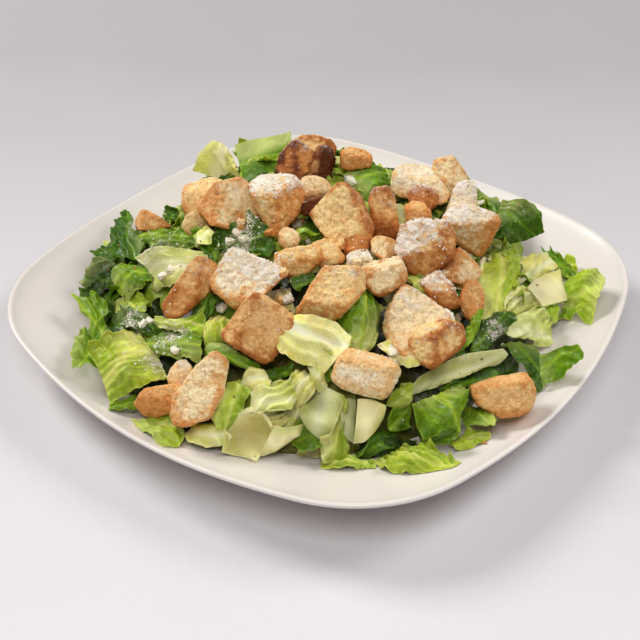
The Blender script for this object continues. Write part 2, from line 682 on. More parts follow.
    # paler along the rib and every vein, deeper between them and towards the margin, and
    # from the leaf's pale foot to its green end where the piece reaches over both
    depth = 0.5 * np.abs(t) ** 2.5 * np.clip(wild, 0.1, 1)
    depth = np.clip(depth + 0.25 * coarse * fine ** 0.5 + 0.3 * wander, 0, 1)[..., None]
    tint = blade * (1 - depth) + edge * depth
    along_foot, across_foot = own.get("fade", (0.0, 0.0))
    from_foot = (u * along_foot + t * across_foot)[..., None]
    foot_tone = 0.75 * FOOT_TONE + 0.25 * vein
    tint = tint + (foot_tone - tint) * np.clip(from_foot, 0, 1) * 0.9
    tint = tint + (edge - tint) * np.clip(-from_foot, 0, 1) * 0.85
    vein_share = 0.4 * (1 - side_veins) ** 4 + 0.16 * (1 - coarse) ** 3 + 0.06 * (1 - fine) ** 3
    vein_share = np.clip(vein_share * open_blade + rib_mask ** 1.5, 0, 1)[..., None]
    tint = tint * (1 - vein_share) + vein * vein_share
    mottled = 1 + 0.06 * chance.uniform(-1, 1) + 0.12 * wandering(12, 7)
    tint = tint * mottled[..., None] * (1 + 0.1 * pleat_height * pleat[..., None])
    shadowed = own.get("hollow", 0.0) * (1 - u ** 2) * (1 - t ** 2)
    tint = tint * (1 - shadowed)[..., None] ** [0.8, 1.0, 1.9]
    tint[..., 0] *= 1 + 0.08 * chance.uniform(-1, 1)
    tints = np.zeros((2 * count, 4))
    tints[:count, :3] = tint.reshape(-1, 3)
    # the underside of a blade is duller and paler than its face
    dull = tint.reshape(-1, 3) * UNDERSIDE_DULL
    tints[count:, :3] = dull + vein * (1 - UNDERSIDE_DULL)
    tints[:, :3] *= own.get("shade", 1.0)
    # a cut edge is wet and pale
    tints[on_rim, :3] += (vein - tints[on_rim, :3]) * WET_EDGE
    tints[:, 3] = cheese_over(points)
    fleshy = own.get("flesh", 0.85 if kind == "rib" else 0.0)
    fleshy = np.clip(rib_mask * 1.2 + fleshy, 0, 1).ravel()
    return points, quads, np.clip(tints, 0, 1), on_rim, np.concatenate([fleshy, fleshy])


# from and to as x, y and height over the heap, then the roll in degrees, arch, curl in
# degrees, ruffle, kind, what is particular to this piece, and the outline it was cut to:
# corners in tenths of a millimetre about its middle, a stroke before each new side
LEAVES = [
    ((-42, 64, 5), (-18, 67, 9), 62, 1, 0, 0.1, "mid",
     dict(crumpled=0.15, blisters=0.1, torn=0.1, lip=0, rib=0.02, flesh=0.8, pleat=0,
          fade=(-0.11, 2.2)),
     "-121 -127 32 -141 / 137 -39 / 159 91 / -124 88"),
    ((-54, 59, 3), (-51, 69, 20), 70, 2, 25, 1, "pale", dict(fade=(0.29, 0.07)),
     "-68 -122 -22 -113 / 47 -65 89 -23 / 108 41 37 63 / -62 85 -75 -18"),
    ((12, 31, 6), (32, 39, 8), 40, 2, -20, 1.5, "mid", dict(blisters=0.5, fade=(-1, -0.04)),
     "-39 -75 33 -66 / 101 -56 105 6 / 94 81 -3 135 -45 129 / -100 92 -103 35 -83 -27"),
    ((69, 40, 13), (102, 23, 25), 50, 3, 30, 2.5, "dark",
     dict(blisters=0.2, torn=0.2, crumpled=0.4, lip=0, fade=(-0.6, 0.36)),
     "1 -105 27 -181 / 104 -131 160 -65 / 200 1 140 53 82 77 16 52 / -45 19 -30 -31"),
    ((103, 31, 7), (119, 19, 7), 10, 1, 0, 2.5, "mid", {},
     "47 -87 100 -93 / 134 -70 72 -13 / 25 -10 -21 39 -73 53 / -126 56 -52 -7 -1 -56"),
    ((76, 23, 6), (86, 39, 9), 20, 1, 0, 1, "pale", {},
     "-115 -53 / -42 -51 41 -20 / 52 23 / -57 33"),
    ((-70, 21, 6), (-64, 21, 9), 30, 1, 70, 0.5, "dark", {},
     "-39 6 -19 -39 / 19 -44 37 -22 / 27 10 -5 59 / -36 65"),
    ((-80, 11, 6), (-53, -3, 7), 25, 2, -25, 1, "mid",
     dict(blisters=1.5, fade=(0.04, -0.3), margin=-1),
     "-91 -57 -33 -56 47 -51 / 136 -47 150 18 / 134 52 69 62 -17 59 -101 65 -161 85 -197 62 / -235 "
     "31 -195 3 -145 -20"),
    ((-55, -8, 5), (-48, 0, 8), 0, 2, -40, 0.6, "pale", dict(blisters=0.4),
     "-21 -61 18 -43 / 50 -4 64 57 / 22 57 -15 47 / -59 10 -54 -47"),
    ((-48, -8, 4), (-20, -11, 5), 30, 1, 15, 1.5, "dark", dict(blisters=0.6),
     "-30 -39 57 -63 118 -86 / 151 -34 141 22 / 79 73 34 123 0 84 -80 104 / -146 104 -138 24 -108 "
     "-43"),
    ((-50, -5, 2), (-44, -23, 3), 0, 1, 30, 1, "dark", dict(blisters=0.4),
     "-70 -38 / 27 -34 90 -18 / 52 9 -25 42 / -102 34 -99 -8"),
    ((-79, -7, 7), (-51, -23, 8), 8, 2, -10, 0.4, "pale",
     dict(crumpled=0.3, blisters=0.1, pleat=0.3, flesh=0.8, shade=0.7, fade=(0.3, 0), margin=-1),
     "-49 -136 107 -113 / 175 -52 173 28 / 121 78 0 73 -81 63 -158 42 / -215 5 -141 -31 -93 -76"),
    ((-70, -15, 3), (-77, -28, 3), 5, 2, -30, 1, "light", dict(crumpled=1.6),
     "-37 -24 14 -63 59 -92 / 122 -39 120 79 / 71 104 -15 99 / -91 90 -77 10"),
    ((-87, 10, 4), (-99, 52, 14), 0, 1, 30, 1, "dark",
     dict(blisters=0.35, torn=0.2, lip=0, crumpled=0.5, fade=(-0.02, -0.35)),
     "-297 -88 -68 -41 27 -34 / 119 -30 210 -14 / 263 3 110 32 -34 54 / -202 80 -310 -12"),
    ((-87, 15, 1), (-109, 38, 7), 10, 1, 20, 1, "mid",
     dict(blisters=0.3, torn=0.4, raised=2, fade=(0.96, -0.72)),
     "84 -89 124 -37 / 188 -16 108 29 / 41 70 -106 85 / -175 83 -28 -19"),
    ((-94, 22, 2), (-108, 23, 4), -30, 1, 20, 2, "dark", dict(blisters=0.3, raised=3, lip=0),
     "-57 -64 -1 -98 / 41 -78 62 -51 / 82 -23 -33 95 / -70 80 -73 36"),
    ((-93, -8, 4), (-113, 4, 7), -15, 1, 35, 1.5, "darkest",
     dict(blisters=0.3, torn=0.4, crumpled=0.6, fade=(0.08, -0.6)),
     "-4 -118 47 -93 75 -61 100 -34 / 124 8 75 31 / 20 43 -65 42 / -129 24 -72 -102"),
    ((-91, -16, 7), (-75, -15, 8), 5, 3, -35, 1.5, "mid",
     dict(blisters=0.4, torn=0.3, fade=(-0.67, 0.21)),
     "35 -101 83 -97 / 92 -37 70 41 / 18 96 -47 116 -82 83 -105 49 / -106 0 -60 -79"),
    ((-94, -21, 4), (-72, -32, 5), 0, 1, -20, 2, "light", dict(crumpled=1.5, fade=(-0.8, -0.06)),
     "-155 11 -84 -27 / 16 -52 117 -62 / 117 -16 59 40 -24 69 / -73 46 -153 53"),
    ((-93, -37, 3), (-111, -14, 9), 5, 3, -25, 2, "mid",
     dict(blisters=0.4, torn=1.4, crumpled=0.8, fade=(-0.02, 0.3)),
     "-156 15 -82 -37 -3 -87 / 82 -115 139 -87 81 -45 110 -21 / 158 -3 92 3 40 22 -15 4 / -76 71 "
     "-150 55"),
    ((-95, -25, 3), (-67, -48, 4), 0, 1, 10, 1.5, "dark", dict(blisters=0.5, fade=(0.07, 0.49)),
     "-57 -89 50 -53 / 154 -47 215 -11 / 86 38 -59 52 -148 56 / -247 58 -151 -36"),
    ((-99, -32, 4), (-100, -71, 3), 0, 3, -30, 1.5, "mid", dict(torn=1.4, fade=(-0.14, -0.58)),
     "-125 -73 -34 -67 101 -50 / 166 -29 153 57 / 87 79 -15 43 / -158 1 -197 -56"),
    ((-89, -77, 3), (-71, -56, 6), 20, 4, -25, 2, "light",
     dict(blisters=0.45, torn=0.3, crumpled=0.7, fade=(0.96, 0.54)),
     "-155 -57 -60 -102 4 -139 / 69 -170 120 -73 139 2 / 147 58 138 93 102 97 65 140 27 148 0 177 "
     "/ -34 194 -48 132 -70 74 -108 12"),
    ((-87, -78, 2), (-73, -80, 2), 30, 1, 0, 2.5, "mid", dict(torn=1.4),
     "-47 -44 -3 -43 / 45 -21 67 12 / 41 57 -9 24 / -47 -20"),
    ((-73, -54, 4), (-48, -64, 5), 5, 2, -15, 2, "mid", dict(blisters=0.6, fade=(0.26, -0.31)),
     "-66 -47 19 -73 81 -65 / 140 -79 145 -27 / 115 38 48 57 -40 66 -121 53 / -151 29 -121 -14"),
    ((-68, -46, 6), (-51, -53, 5), 10, 2, -50, 1, "light", dict(blisters=0.4, fade=(-0.96, -0.28)),
     "-75 -44 -7 -52 69 -58 / 131 -54 117 23 / 81 85 46 18 -13 1 -74 1 / -140 14 -113 -18"),
    ((-51, -51, 3), (-43, -38, 4), 0, 1, 10, 1.5, "dark", dict(torn=1.5),
     "-31 -31 21 -32 / 48 12 59 72 / 37 104 6 72 / -42 60 -70 -7"),
    ((-47, -63, 5), (-36, -50, 6), 0, 2, -20, 1.5, "light",
     dict(blisters=0.4, torn=0.3, fade=(0.88, 0.66)),
     "-52 -73 32 -42 / 56 12 56 73 / 21 109 -47 64 / -104 13 -83 -35"),
    ((-49, -66, 5), (-28, -76, 5), 10, 3, -60, 1, "mid", dict(blisters=0.3, fade=(-0.71, 0.36)),
     "-116 -14 -79 -46 -53 -16 / -5 -14 76 -18 / 136 -7 138 19 82 27 22 42 / -45 52 -97 40"),
    ((-32, -82, 5), (-37, -97, 5), 0, 2, -45, 1, "light", dict(blisters=0.2, fade=(0.14, -0.79)),
     "-72 -69 -29 -63 24 -65 / 88 -63 111 -29 / 104 9 47 29 -13 42 / -66 44 -89 -22"),
    ((-33, -82, 6), (-21, -80, 7), 10, 2, -70, 1, "cream",
     dict(blisters=0.2, crumpled=0.6, fade=(-0.18, 0.47)),
     "-16 -62 45 -63 / 63 -28 45 15 / 4 40 -40 34 / -64 -8 -54 -58"),
    ((-52, -95, 3), (-35, -99, 3), 5, 2, -15, 1, "pale",
     dict(blisters=0.15, crumpled=0.5, torn=0.4, flesh=0.8, shade=1.05, fade=(0.73, 0.33)),
     "-106 -9 -66 -38 / 0 -50 61 -36 / 83 0 41 41 / -8 51 -80 28"),
    ((-73, -89, 3), (-49, -96, 2), 5, 2, -10, 2, "light",
     dict(blisters=0.3, crumpled=0.7, fade=(-0.09, -0.49)),
     "-153 14 -92 -39 -27 -76 / 30 -115 88 -83 / 86 -19 26 47 / -26 72 -91 15"),
    ((-20, -65, 7), (9, -74, 9), 10, 4, -20, 2, "cream",
     dict(blisters=0.35, crumpled=0.7, torn=0.5, shade=1.14, fade=(0.49, 0.1)),
     "-154 -32 -90 -74 -23 -82 38 -71 / 74 -105 115 -14 145 29 / 143 86 70 122 -19 120 -85 99 / "
     "-141 69 -153 23"),
    ((14, -37, 8), (13, -69, 6), -8, 3, -25, 1.5, "mid", dict(blisters=0.6, fade=(0.57, 0.7)),
     "-182 -23 -103 -42 -25 -64 / 59 -78 114 -36 163 -15 / 173 29 125 77 45 100 -57 104 / -136 78 "
     "-140 3"),
    ((-14, -41, 4), (-2, -34, 5), 0, 1, 30, 1.5, "dark", {},
     "-48 -38 / 15 -41 63 -8 / 52 38 / -62 35"),
    ((14, -85, 6), (10, -102, 3), 0, 2, -25, 0.2, "rib",
     dict(torn=0.2, raised=2, shade=0.92, flesh=0.6, fade=(-0.48, 0.15)),
     "-110 -13 -24 -5 / 63 2 51 43 -1 77 / -51 99 -105 102 / -118 48 -116 17"),
    ((1, -82, 7), (-5, -97, 4), 10, 2, -18, 0.3, "rib",
     dict(blisters=0.05, crumpled=0.15, torn=0.2, rib=0.5, flesh=0.9, shade=0.9,
          fade=(0.31, -0.17), margin=1),
     "-66 -49 -14 -65 41 -64 / 86 -18 107 32 / 105 67 38 82 -24 83 / -82 78 -97 -10"),
    ((-3, -76, 7), (-14, -89, 5), 0, 2, -20, 1.2, "pale",
     dict(blisters=0.3, crumpled=1, pleats=2, flesh=0.4, raised=1, fade=(0.57, 0.18)),
     "-39 -61 15 -55 / 68 -35 108 13 / 63 49 7 60 / -46 41 -68 -22"),
    ((-28, -87, 5), (-13, -85, 5), 10, 2, -20, 1, "pale",
     dict(blisters=0.2, crumpled=0.8, pleats=1.5, flesh=0.6, raised=1, fade=(-0.85, 0.84)),
     "-5 -66 74 -67 / 97 -19 87 54 / 41 53 -36 38 / -83 7 -77 -27 -88 -83"),
    ((-30, -94, 7), (-28, -102, 2), 0, -5, 55, 0.2, "rib",
     dict(blisters=0.05, crumpled=0.15, torn=0.2, rib=0.6, flesh=0.6, hollow=0.45),
     "-84 25 -68 -18 -39 -56 6 -88 / 56 -106 93 -36 / 104 15 80 56 46 86 / -15 87 -68 60"),
    ((-22, -99, 3), (-9, -96, 3), 12, 2, -45, 0.3, "pale",
     dict(blisters=0.05, crumpled=0.15, torn=0.2, rib=0.6, flesh=0.6, fade=(-0.77, -0.2)),
     "-105 -66 -43 -54 / 22 -26 79 -2 / 103 36 19 32 / -28 47 -75 -17"),
    ((-3, -105, 2), (23, -106, 2), 15, 1, 0, 1, "light", dict(blisters=0.4, pleats=2),
     "-111 -15 -48 -24 / 26 -17 / 93 -5 96 29 25 33 / -43 54 -102 36"),
    ((7, -84, 3), (2, -100, 2), 0, 1, -20, 1, "light",
     dict(blisters=0.2, shade=0.8, flesh=0.4, fade=(0.68, -0.99)),
     "-113 -5 -40 -3 41 -15 / 58 -53 157 -18 136 23 / 120 70 67 69 19 42 / -54 25 -109 24"),
    ((20, -86, 5), (35, -76, 7), 10, 2, -50, 1, "light", dict(blisters=0.3, fade=(-0.02, -0.7)),
     "-5 -73 31 -70 / 64 -50 90 -13 / 50 14 -13 1 / -52 -28 -35 -53"),
    ((19, -66, 4), (37, -70, 5), 0, 1, 10, 1.5, "pale", dict(blisters=0.1),
     "1 -19 59 -36 / 97 -12 91 40 / 35 58 -38 56 / -85 19 -45 -5"),
    ((33, -83, 7), (79, -49, 8), 20, 1, -20, 0.6, "rib",
     dict(torn=0.8, crumpled=0.3, rib=0.3, shade=0.88, flesh=0.8, fade=(0.51, 0.48)),
     "-277 4 -123 -10 -58 0 18 2 / 104 2 185 -22 276 -1 / 252 33 164 54 71 72 -13 76 / -120 67 "
     "-193 63 -241 40"),
    ((33, -82, 4), (74, -57, 4), 0, 1, 20, 1, "dark", dict(blisters=0.2, lip=0),
     "-4 -3 85 -8 / 174 -16 219 -10 236 51 / 79 49 2 33 / -67 12"),
    ((37, -81, 6), (46, -99, 3), 0, 3, -20, 1.5, "mid",
     dict(blisters=0.6, torn=0.3, crumpled=0.8, fade=(-0.51, 0.32)),
     "-102 -31 -55 -45 6 -67 74 -71 / 111 3 111 53 89 82 31 111 / -11 167 -51 192 / -88 159 -91 79 "
     "-94 21"),
    ((54, -79, 4), (66, -94, 3), 0, 2, -20, 1, "mid", dict(blisters=0.3, fade=(0.59, 0.12)),
     "-62 -27 9 -69 / 62 -38 118 -21 / 82 33 2 77 / -63 83 -88 32"),
    ((47, -95, 2), (64, -97, 2), 20, 1, 0, 2.5, "light", {},
     "-37 -56 8 -53 / 61 -16 92 20 / 39 54 -22 39 / -68 20 -68 -21"),
    ((19, -101, 2), (49, -112, 3), 18, 2, -10, 2.5, "light",
     dict(blisters=0.7, crumpled=1.3, pleats=3),
     "-166 -14 -119 -59 -56 -82 / 20 -74 98 -47 153 -25 / 170 11 98 66 20 91 / -67 74 -139 29"),
    ((12, -100, 4), (29, -91, 5), 0, 2, 120, 0.5, "dark", dict(blisters=0.2),
     "-51 -53 21 -67 / 58 -49 109 -8 76 14 / -4 28 -61 29 / -108 8 -101 -17"),
    ((25, -89, 2), (34, -80, 3), 0, 1, 20, 1.5, "mid", dict(blisters=0.3),
     "-52 -52 / -3 -77 43 -48 / 70 -15 -5 26 / -55 13 -79 -18"),
    ((59, -37, 5), (59, -53, 4), 30, 2, -20, 1, "mid", dict(blisters=0.3, rib=0.3),
     "48 -9 85 -48 / 135 -78 / 112 -27 63 19 12 53 / -58 78 -69 56 -8 28"),
    ((65, -50, 4), (76, -33, 5), 0, 1, 10, 2, "dark", dict(blisters=0.5, torn=1.3),
     "-82 -36 39 -44 / 137 -53 152 -18 / 73 44 -7 61 / -77 49 -152 10"),
    ((76, -44, 5), (88, -67, 3), -5, 3, -30, 1.5, "dark",
     dict(blisters=0.15, torn=0.2, crumpled=0.4, fade=(-0.29, 0.08)),
     "-142 -11 -33 -8 59 -1 / 130 -34 138 17 / 53 80 -31 117 / -101 114 -133 47"),
    ((85, -60, 4), (106, -63, 6), 30, 2, -20, 1.5, "mid",
     dict(blisters=0.3, torn=0.3, lip=0, fade=(-0.5, 0.03)),
     "-71 -55 -8 -46 / 71 -32 126 -16 / 133 5 116 53 56 57 / -3 80 -55 101"),
    ((82, 18, 5), (74, -28, 5), 20, 3, -20, 2, "light",
     dict(blisters=0.9, torn=0.5, fade=(0.33, -0.62)),
     "-130 -49 -75 -104 76 -85 201 -55 / 331 -46 315 21 / 181 57 35 91 -137 102 / -301 92 -244 0"),
    ((91, 3, 4), (111, 27, 6), 5, 2, -15, 1.5, "cream",
     dict(blisters=0.15, torn=0.15, crumpled=0.2, lip=0, flesh=0.5, fade=(0.5, -0.05)),
     "-28 -50 97 -55 / 116 -26 158 42 / 32 69 -98 75 / -205 -12"),
    ((93, -5, 6), (112, 0, 6), 15, 2, -15, 0.4, "rib", dict(torn=0.2, shade=0.9, flesh=0.6),
     "-86 -120 70 -68 / 92 47 103 133 / 14 88 -76 38 / -136 -20 -105 -75"),
    ((106, -9, 5), (126, -10, 7), 17, 3, -10, 2.5, "light",
     dict(blisters=0.3, torn=0.6, crumpled=1.1, fade=(0.7, 0.38)),
     "-137 -65 -94 -79 -42 -91 / -4 -162 33 -115 78 -53 / 124 34 101 94 69 135 / 4 155 -58 148 -83 "
     "24"),
    ((90, -23, 4), (107, -13, 4), 0, 1, 0, 2, "light", dict(blisters=0.2, fade=(-0.28, -0.64)),
     "-80 -26 -102 -85 / -21 -62 40 -40 / 106 42 36 56 / -40 55"),
    ((78, -36, 4), (100, -28, 4), 0, 2, -10, 2, "pale",
     dict(blisters=0.3, crumpled=1.6, torn=1.6, fade=(-0.4, 0.02)),
     "-149 -19 -118 -47 -33 -43 / 37 -72 122 -55 / 156 35 82 50 / 2 91 -98 39"),
    ((-14, -11, 10), (0, -11, 10), 0, 1, -110, 0, "mid", {},
     "-59 2 -29 -20 / 21 -27 54 -5 / 53 31 -5 46 / -68 31"),
    ((79, 90, 4), (86, 36, 5), 40, 1, 0, 0.5, "dark", dict(blisters=0.3, lip=0, fade=(-0.42, 0.27)),
     "-372 -7 -14 -56 / 240 -72 367 -49 / 277 24 71 73 / -61 84 -187 109 -183 66 -270 26"),
    ((35, -31, 8), (47, -45, 9), 10, 1, 20, 0.2, "light", dict(blisters=0.1, lip=0, rib=0.6),
     "-106 2 -44 -18 21 -25 / 92 -27 / 108 -3 58 8 -16 17 / -87 24"),
    ((-93, 53, 4), (-77, 4, 5), 0, 1, 10, 0.3, "mid", dict(blisters=0.2, shade=0.85),
     "-388 -16 16 -40 / 295 -40 / 388 17 91 19 / -206 16"),
    ((-24, -77, 2), (-13, -75, 2), 0, 1, 10, 0.3, "dark", dict(blisters=0.1),
     "0 -43 / 50 -20 72 24 / 1 16 / -61 12 -47 -49"),
    ((81, -21, 4), (95, -6, 4), 5, 1, -10, 0.6, "pale", dict(blisters=0.3, crumpled=1.3),
     "-104 -54 23 -66 / 105 -33 106 30 / 44 72 -83 43 / -162 -23"),
    ((112, 21, 3), (120, 20, 3), 20, 1, -10, 1, "light", dict(blisters=0.3),
     "-41 -21 -21 -69 / 14 -78 37 -21 / 36 33 8 62 / -13 46"),
    ((-6, -76, 7), (-1, -81, 5), 0, 1, -20, 0.3, "pale", dict(blisters=0.1),
     "-69 8 -18 -13 / 34 -31 74 -26 / 57 18 7 39 / -37 42"),
    ((0, -73, 1), (4, -77, 1), 0, 1, 0, 0.3, "mid", dict(blisters=0.1),
     "-26 -23 / 6 -36 31 -6 / 22 22 -27 53 / -43 27"),
    ((-37, -85, 3), (-34, -95, 3), 0, 1, 30, 0.3, "mid", dict(blisters=0.1, shade=0.9),
     "-51 -20 39 -43 / 83 -29 / 56 4 -30 30 / -59 13"),
    ((68, -57, 2), (82, -45, 2), 0, 0, 0, 0.3, "darkest", dict(blisters=0.1, lip=0),
     "-67 -49 39 -64 / 93 -61 92 -16 / 71 15 -10 10 / -52 3"),
    ((10, -84, 3), (9, -96, 1), -15, 1, -20, 0.2, "rib", dict(shade=0.74, flesh=0.6, torn=0.2),
     "-85 -21 -26 -41 / 37 -33 76 -1 / 88 33 / 1 35 -86 33"),
    ((-2, -71, 9), (9, -65, 9), 0, 1, -15, 0.4, "light",
     dict(blisters=0.3, crumpled=0.6, fade=(0.74, 0.51)),
     "-19 -69 31 -59 / 73 -19 58 47 / 8 60 -34 49 / -66 24 -48 -20"),
    ((-24, -92, 3), (-14, -90, 3), 0, 1, -20, 1.2, "cream",
     dict(blisters=0.4, pleats=2, crumpled=1.2),
     "-35 -41 7 -62 / 50 -29 71 15 / 51 37 -11 29 / -57 19"),
    ((-14, -86, 2), (-8, -92, 1), 0, 0, 0, 0.3, "pale", dict(shade=0.8, flesh=0.9, torn=0.2),
     "-39 -21 -12 -49 / 24 -69 54 -25 / 70 5 10 38 / -30 47 -43 14"),
    ((15, -97, 1), (37, -91, 1), 0, 1, 0, 0.5, "darkest", dict(shade=0.8, lip=0),
     "-60 -56 33 -54 / 105 -38 129 6 / 13 45 -93 36 / -143 18 -120 -38"),
    ((40, -93, 1), (51, -100, 1), 0, 1, 0, 0.5, "dark", dict(shade=0.8, lip=0),
     "-27 -73 56 -67 / 108 -23 48 41 / -14 25 / -108 19"),
]
BLADE_CELL = 0.72
SHOWN_SEED, FILL_SEED = 900, 3000


def joined(sheets):
    """Many small meshes as one: each of their arrays laid end to end, faces renumbered."""
    points, faces, *others = zip(*sheets)
    starts = np.cumsum([0] + [len(part) for part in points[:-1]])
    faces = np.concatenate([part + start for part, start in zip(faces, starts)])
    return (np.concatenate(points), faces, *(np.concatenate(part) for part in others))


CHEESE_TONE = (*linear(255, 243, 229), 1.0)
DRESSING_TONE = (*linear(226, 222, 170), 1.0)
FINE_VEIN_TONE = (*linear(214, 222, 130), 1.0)
romaine = Finish("dressed_romaine")
leaf_paint = romaine.add("ShaderNodeVertexColor", {"layer_name": "tint"})
leaf_flesh = romaine.add("ShaderNodeAttribute", {"attribute_name": "flesh"}).outputs["Fac"]
leaf_blade = romaine.spread(leaf_flesh, 0, 1, 1.0, 0.12)
leaf_patches = romaine.varied(7, 4, 0.8, 1.18)
leaf_specks = romaine.spread(romaine.grain(0.7, 2), 0.35, 0.65, 0.93, 1.07)
leaf_grey = romaine.grey(romaine.times(leaf_patches, leaf_specks))
net_where = romaine.add("ShaderNodeTexCoord").outputs["Object"]
net_bent = romaine.add("ShaderNodeTexNoise", Scale=300.0, Detail=2.0, Vector=net_where)
net_mixed = romaine.wired("ShaderNodeVectorMath", {"operation": "MULTIPLY_ADD"}, range(3),
                          (net_bent.outputs["Color"], (0.0016, 0.0016, 0.0016), net_where))
vein_cells = romaine.add("ShaderNodeTexVoronoi", {"feature": "DISTANCE_TO_EDGE"}, Scale=430.0,
                         Vector=net_mixed[0]).outputs["Distance"]
fine_veins = romaine.spread(vein_cells, 0.0, 0.16, 1.0, 0.0)
dressing_film = romaine.spread(romaine.grain(16, 4, distortion=0.6), 0.6, 0.76, 0.0, 0.03)
leaf_colour = romaine.blend(romaine.spread(leaf_flesh, 0, 1, 1.0, 0.35),
                            leaf_paint.outputs["Color"], leaf_grey, "MULTIPLY")
leaf_colour = romaine.blend(dressing_film, leaf_colour, DRESSING_TONE)
leaf_colour = romaine.blend(romaine.times(fine_veins, romaine.times(leaf_blade, 0.07)),
                            leaf_colour, FINE_VEIN_TONE)
cheese_dust = romaine.dusted(leaf_paint.outputs["Alpha"])
leaf_colour = romaine.blend(cheese_dust, leaf_colour, CHEESE_TONE)
leaf_bump = romaine.relief(romaine.times(romaine.creases(5.0), leaf_blade), 1.0, 0.7)
leaf_net = romaine.times(romaine.spread(vein_cells, 0.0, 0.3), leaf_blade)
leaf_bump = romaine.relief(leaf_net, 0.25, 0.35, leaf_bump)
leaf_bump = romaine.relief(romaine.times(romaine.grain(2.0, 3), leaf_blade), 0.4, 0.5, leaf_bump)
leaf_bump = romaine.grained(0.55, 2, 0.12, 0.35, leaf_bump)
romaine.set(
    Base_Color=leaf_colour,
    Roughness=romaine.varied(10, 3, 0.28, 0.5),
    Normal=romaine.relief(cheese_dust, 0.2, 0.7, leaf_bump),
    Specular_IOR_Level=0.22,
    Coat_Weight=0.1,
    Coat_Roughness=0.14,
    Subsurface_Weight=0.3,
    Subsurface_Scale=0.002,
    Subsurface_Radius=(0.8, 1.0, 0.15),
)


def romaine_piece(name, sheets):
    points, faces, tints, on_rim, flesh = joined(sheets)
    piece = mesh_piece(name, in_row(points), faces, romaine.material, tints, crisp=on_rim,
                       flesh=flesh)
    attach(piece, "root")
    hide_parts("lettuce")
    return points, faces


# places where one looks down between the leaves into the dark: x, y, radius
GAPS = [
    (-97, 17, 3), (-53, -4, 2), (-36, -72, 4), (-61, -59, 2), (33, -88, 6), (29, -83, 4),
    (5, -54, 2), (23, -56, 2), (81, -45, 3), (-20, -66, 2), (31, -69, 2), (-95, -54, 2),
    (20, -93, 2), (56, -78, 2),
]

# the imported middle, dark and creased, that the showing leaves lie on
CORE_SINK = 3.0
CORE_SHARE = 0.955
CORE_RINGS = 60
CORE_SECTORS = 160
GAP_DEPTH = 9
core_angles = np.arange(CORE_SECTORS) / CORE_SECTORS * 2 * math.pi
core_shares = 1 - (1 - np.linspace(0.02, 1, CORE_RINGS)) ** 1.25
core_r = core_shares[:, None] * heap_reach(core_angles)[None, :] * CORE_SHARE
core_x = core_r * np.cos(core_angles)
core_y = HEAP_MIDDLE_Y + core_r * np.sin(core_angles)
core_z = heap_top(core_x, core_y) - CORE_SINK
core_flat = np.stack([core_x.ravel(), core_y.ravel(), 0 * core_x.ravel()], 1)
creases = np.abs(drift(core_flat, 15, 31)) * 2.2 + np.abs(drift(core_flat, 6, 32)) * 1.3
creases = creases.reshape(core_x.shape) - 2.0
core_z = core_z + creases + 0.35 * drift(core_flat, 2.4, 33).reshape(core_x.shape)
# it is leaves as well: blades that overlap like shingles, each tilted its own way
CORE_BLADES = 150
SUNFLOWER_TURN = 2.399963
blade_chance = np.random.default_rng(61)
blade_angles = np.arange(CORE_BLADES) * SUNFLOWER_TURN
blade_reach = np.sqrt((np.arange(CORE_BLADES) + 0.5) / CORE_BLADES) * heap_reach(blade_angles)
blade_middles = np.stack([blade_reach * np.cos(blade_angles),
                          HEAP_MIDDLE_Y + blade_reach * np.sin(blade_angles)], 1)
from_blades = core_flat[:, None, :2] - blade_middles
blade_sizes = blade_chance.uniform(0.75, 1.3, CORE_BLADES)
nearest = np.argmin(np.linalg.norm(from_blades, axis=2) * blade_sizes, axis=1)
tilts = blade_chance.uniform(0, 2 * math.pi, CORE_BLADES)[nearest]
out_x, out_y = from_blades[np.arange(len(nearest)), nearest].T
blade_rise = (out_x * np.cos(tilts) + out_y * np.sin(tilts)).reshape(core_x.shape)
core_z = core_z - 1.0 + 1.9 * np.clip(blade_rise / 8, -1, 1)
blade_light = blade_chance.uniform(0.6, 1.7, CORE_BLADES)[nearest]
for gap_x, gap_y, radius in GAPS:
    away = (core_x - gap_x) ** 2 + (core_y - gap_y) ** 2
    core_z = core_z - GAP_DEPTH * np.exp(-away / (1.6 * radius) ** 2)
core_z = np.maximum(core_z, plate_surface(core_x, core_y) + 0.4)
core_under = plate_surface(core_x, core_y) + 0.15
core_count = CORE_RINGS * CORE_SECTORS
core_points = np.vstack([
    np.stack([core_x, core_y, core_z], -1).reshape(-1, 3),
    np.stack([core_x, core_y, core_under], -1).reshape(-1, 3),
    [[0, HEAP_MIDDLE_Y, heap_top(0.0, HEAP_MIDDLE_Y) - CORE_SINK]],
    [[0, HEAP_MIDDLE_Y, plate_surface(0.0, HEAP_MIDDLE_Y) + 0.15]],
])
core_skin = ring_quads(CORE_RINGS, CORE_SECTORS)
outer = core_count - CORE_SECTORS + np.arange(CORE_SECTORS)
outer_next = np.roll(outer, -1)
core_quads = np.vstack([
    core_skin,
    core_skin[:, ::-1] + core_count,
    np.stack([outer, outer + core_count, outer_next + core_count, outer_next], 1),
    fan_quads(2 * core_count, 0, CORE_SECTORS, False),
    fan_quads(2 * core_count + 1, core_count, CORE_SECTORS, True),
])
core_green = np.clip(0.5 + 0.5 * drift(core_points, 22, 34), 0, 1)[:, None]
core_at_x, core_at_y = core_points[:, 0], core_points[:, 1]
core_tint = np.array(linear(10, 18, 2)) * (1 - core_green)
core_tint = core_tint + np.array(linear(30, 48, 8)) * core_green
front = np.clip(-(core_at_y + 52) / 22, 0, 1) * np.clip(1.2 - np.abs(core_at_x + 6) / 40, 0, 1)
right = np.clip((core_at_x - 62) / 25, 0, 1) * np.clip((core_at_y + 32) / 20, 0, 1)
far = np.clip(np.maximum((core_at_y - 48) / 15, 0.6 * (-core_at_x - 72) / 15), 0, 1)
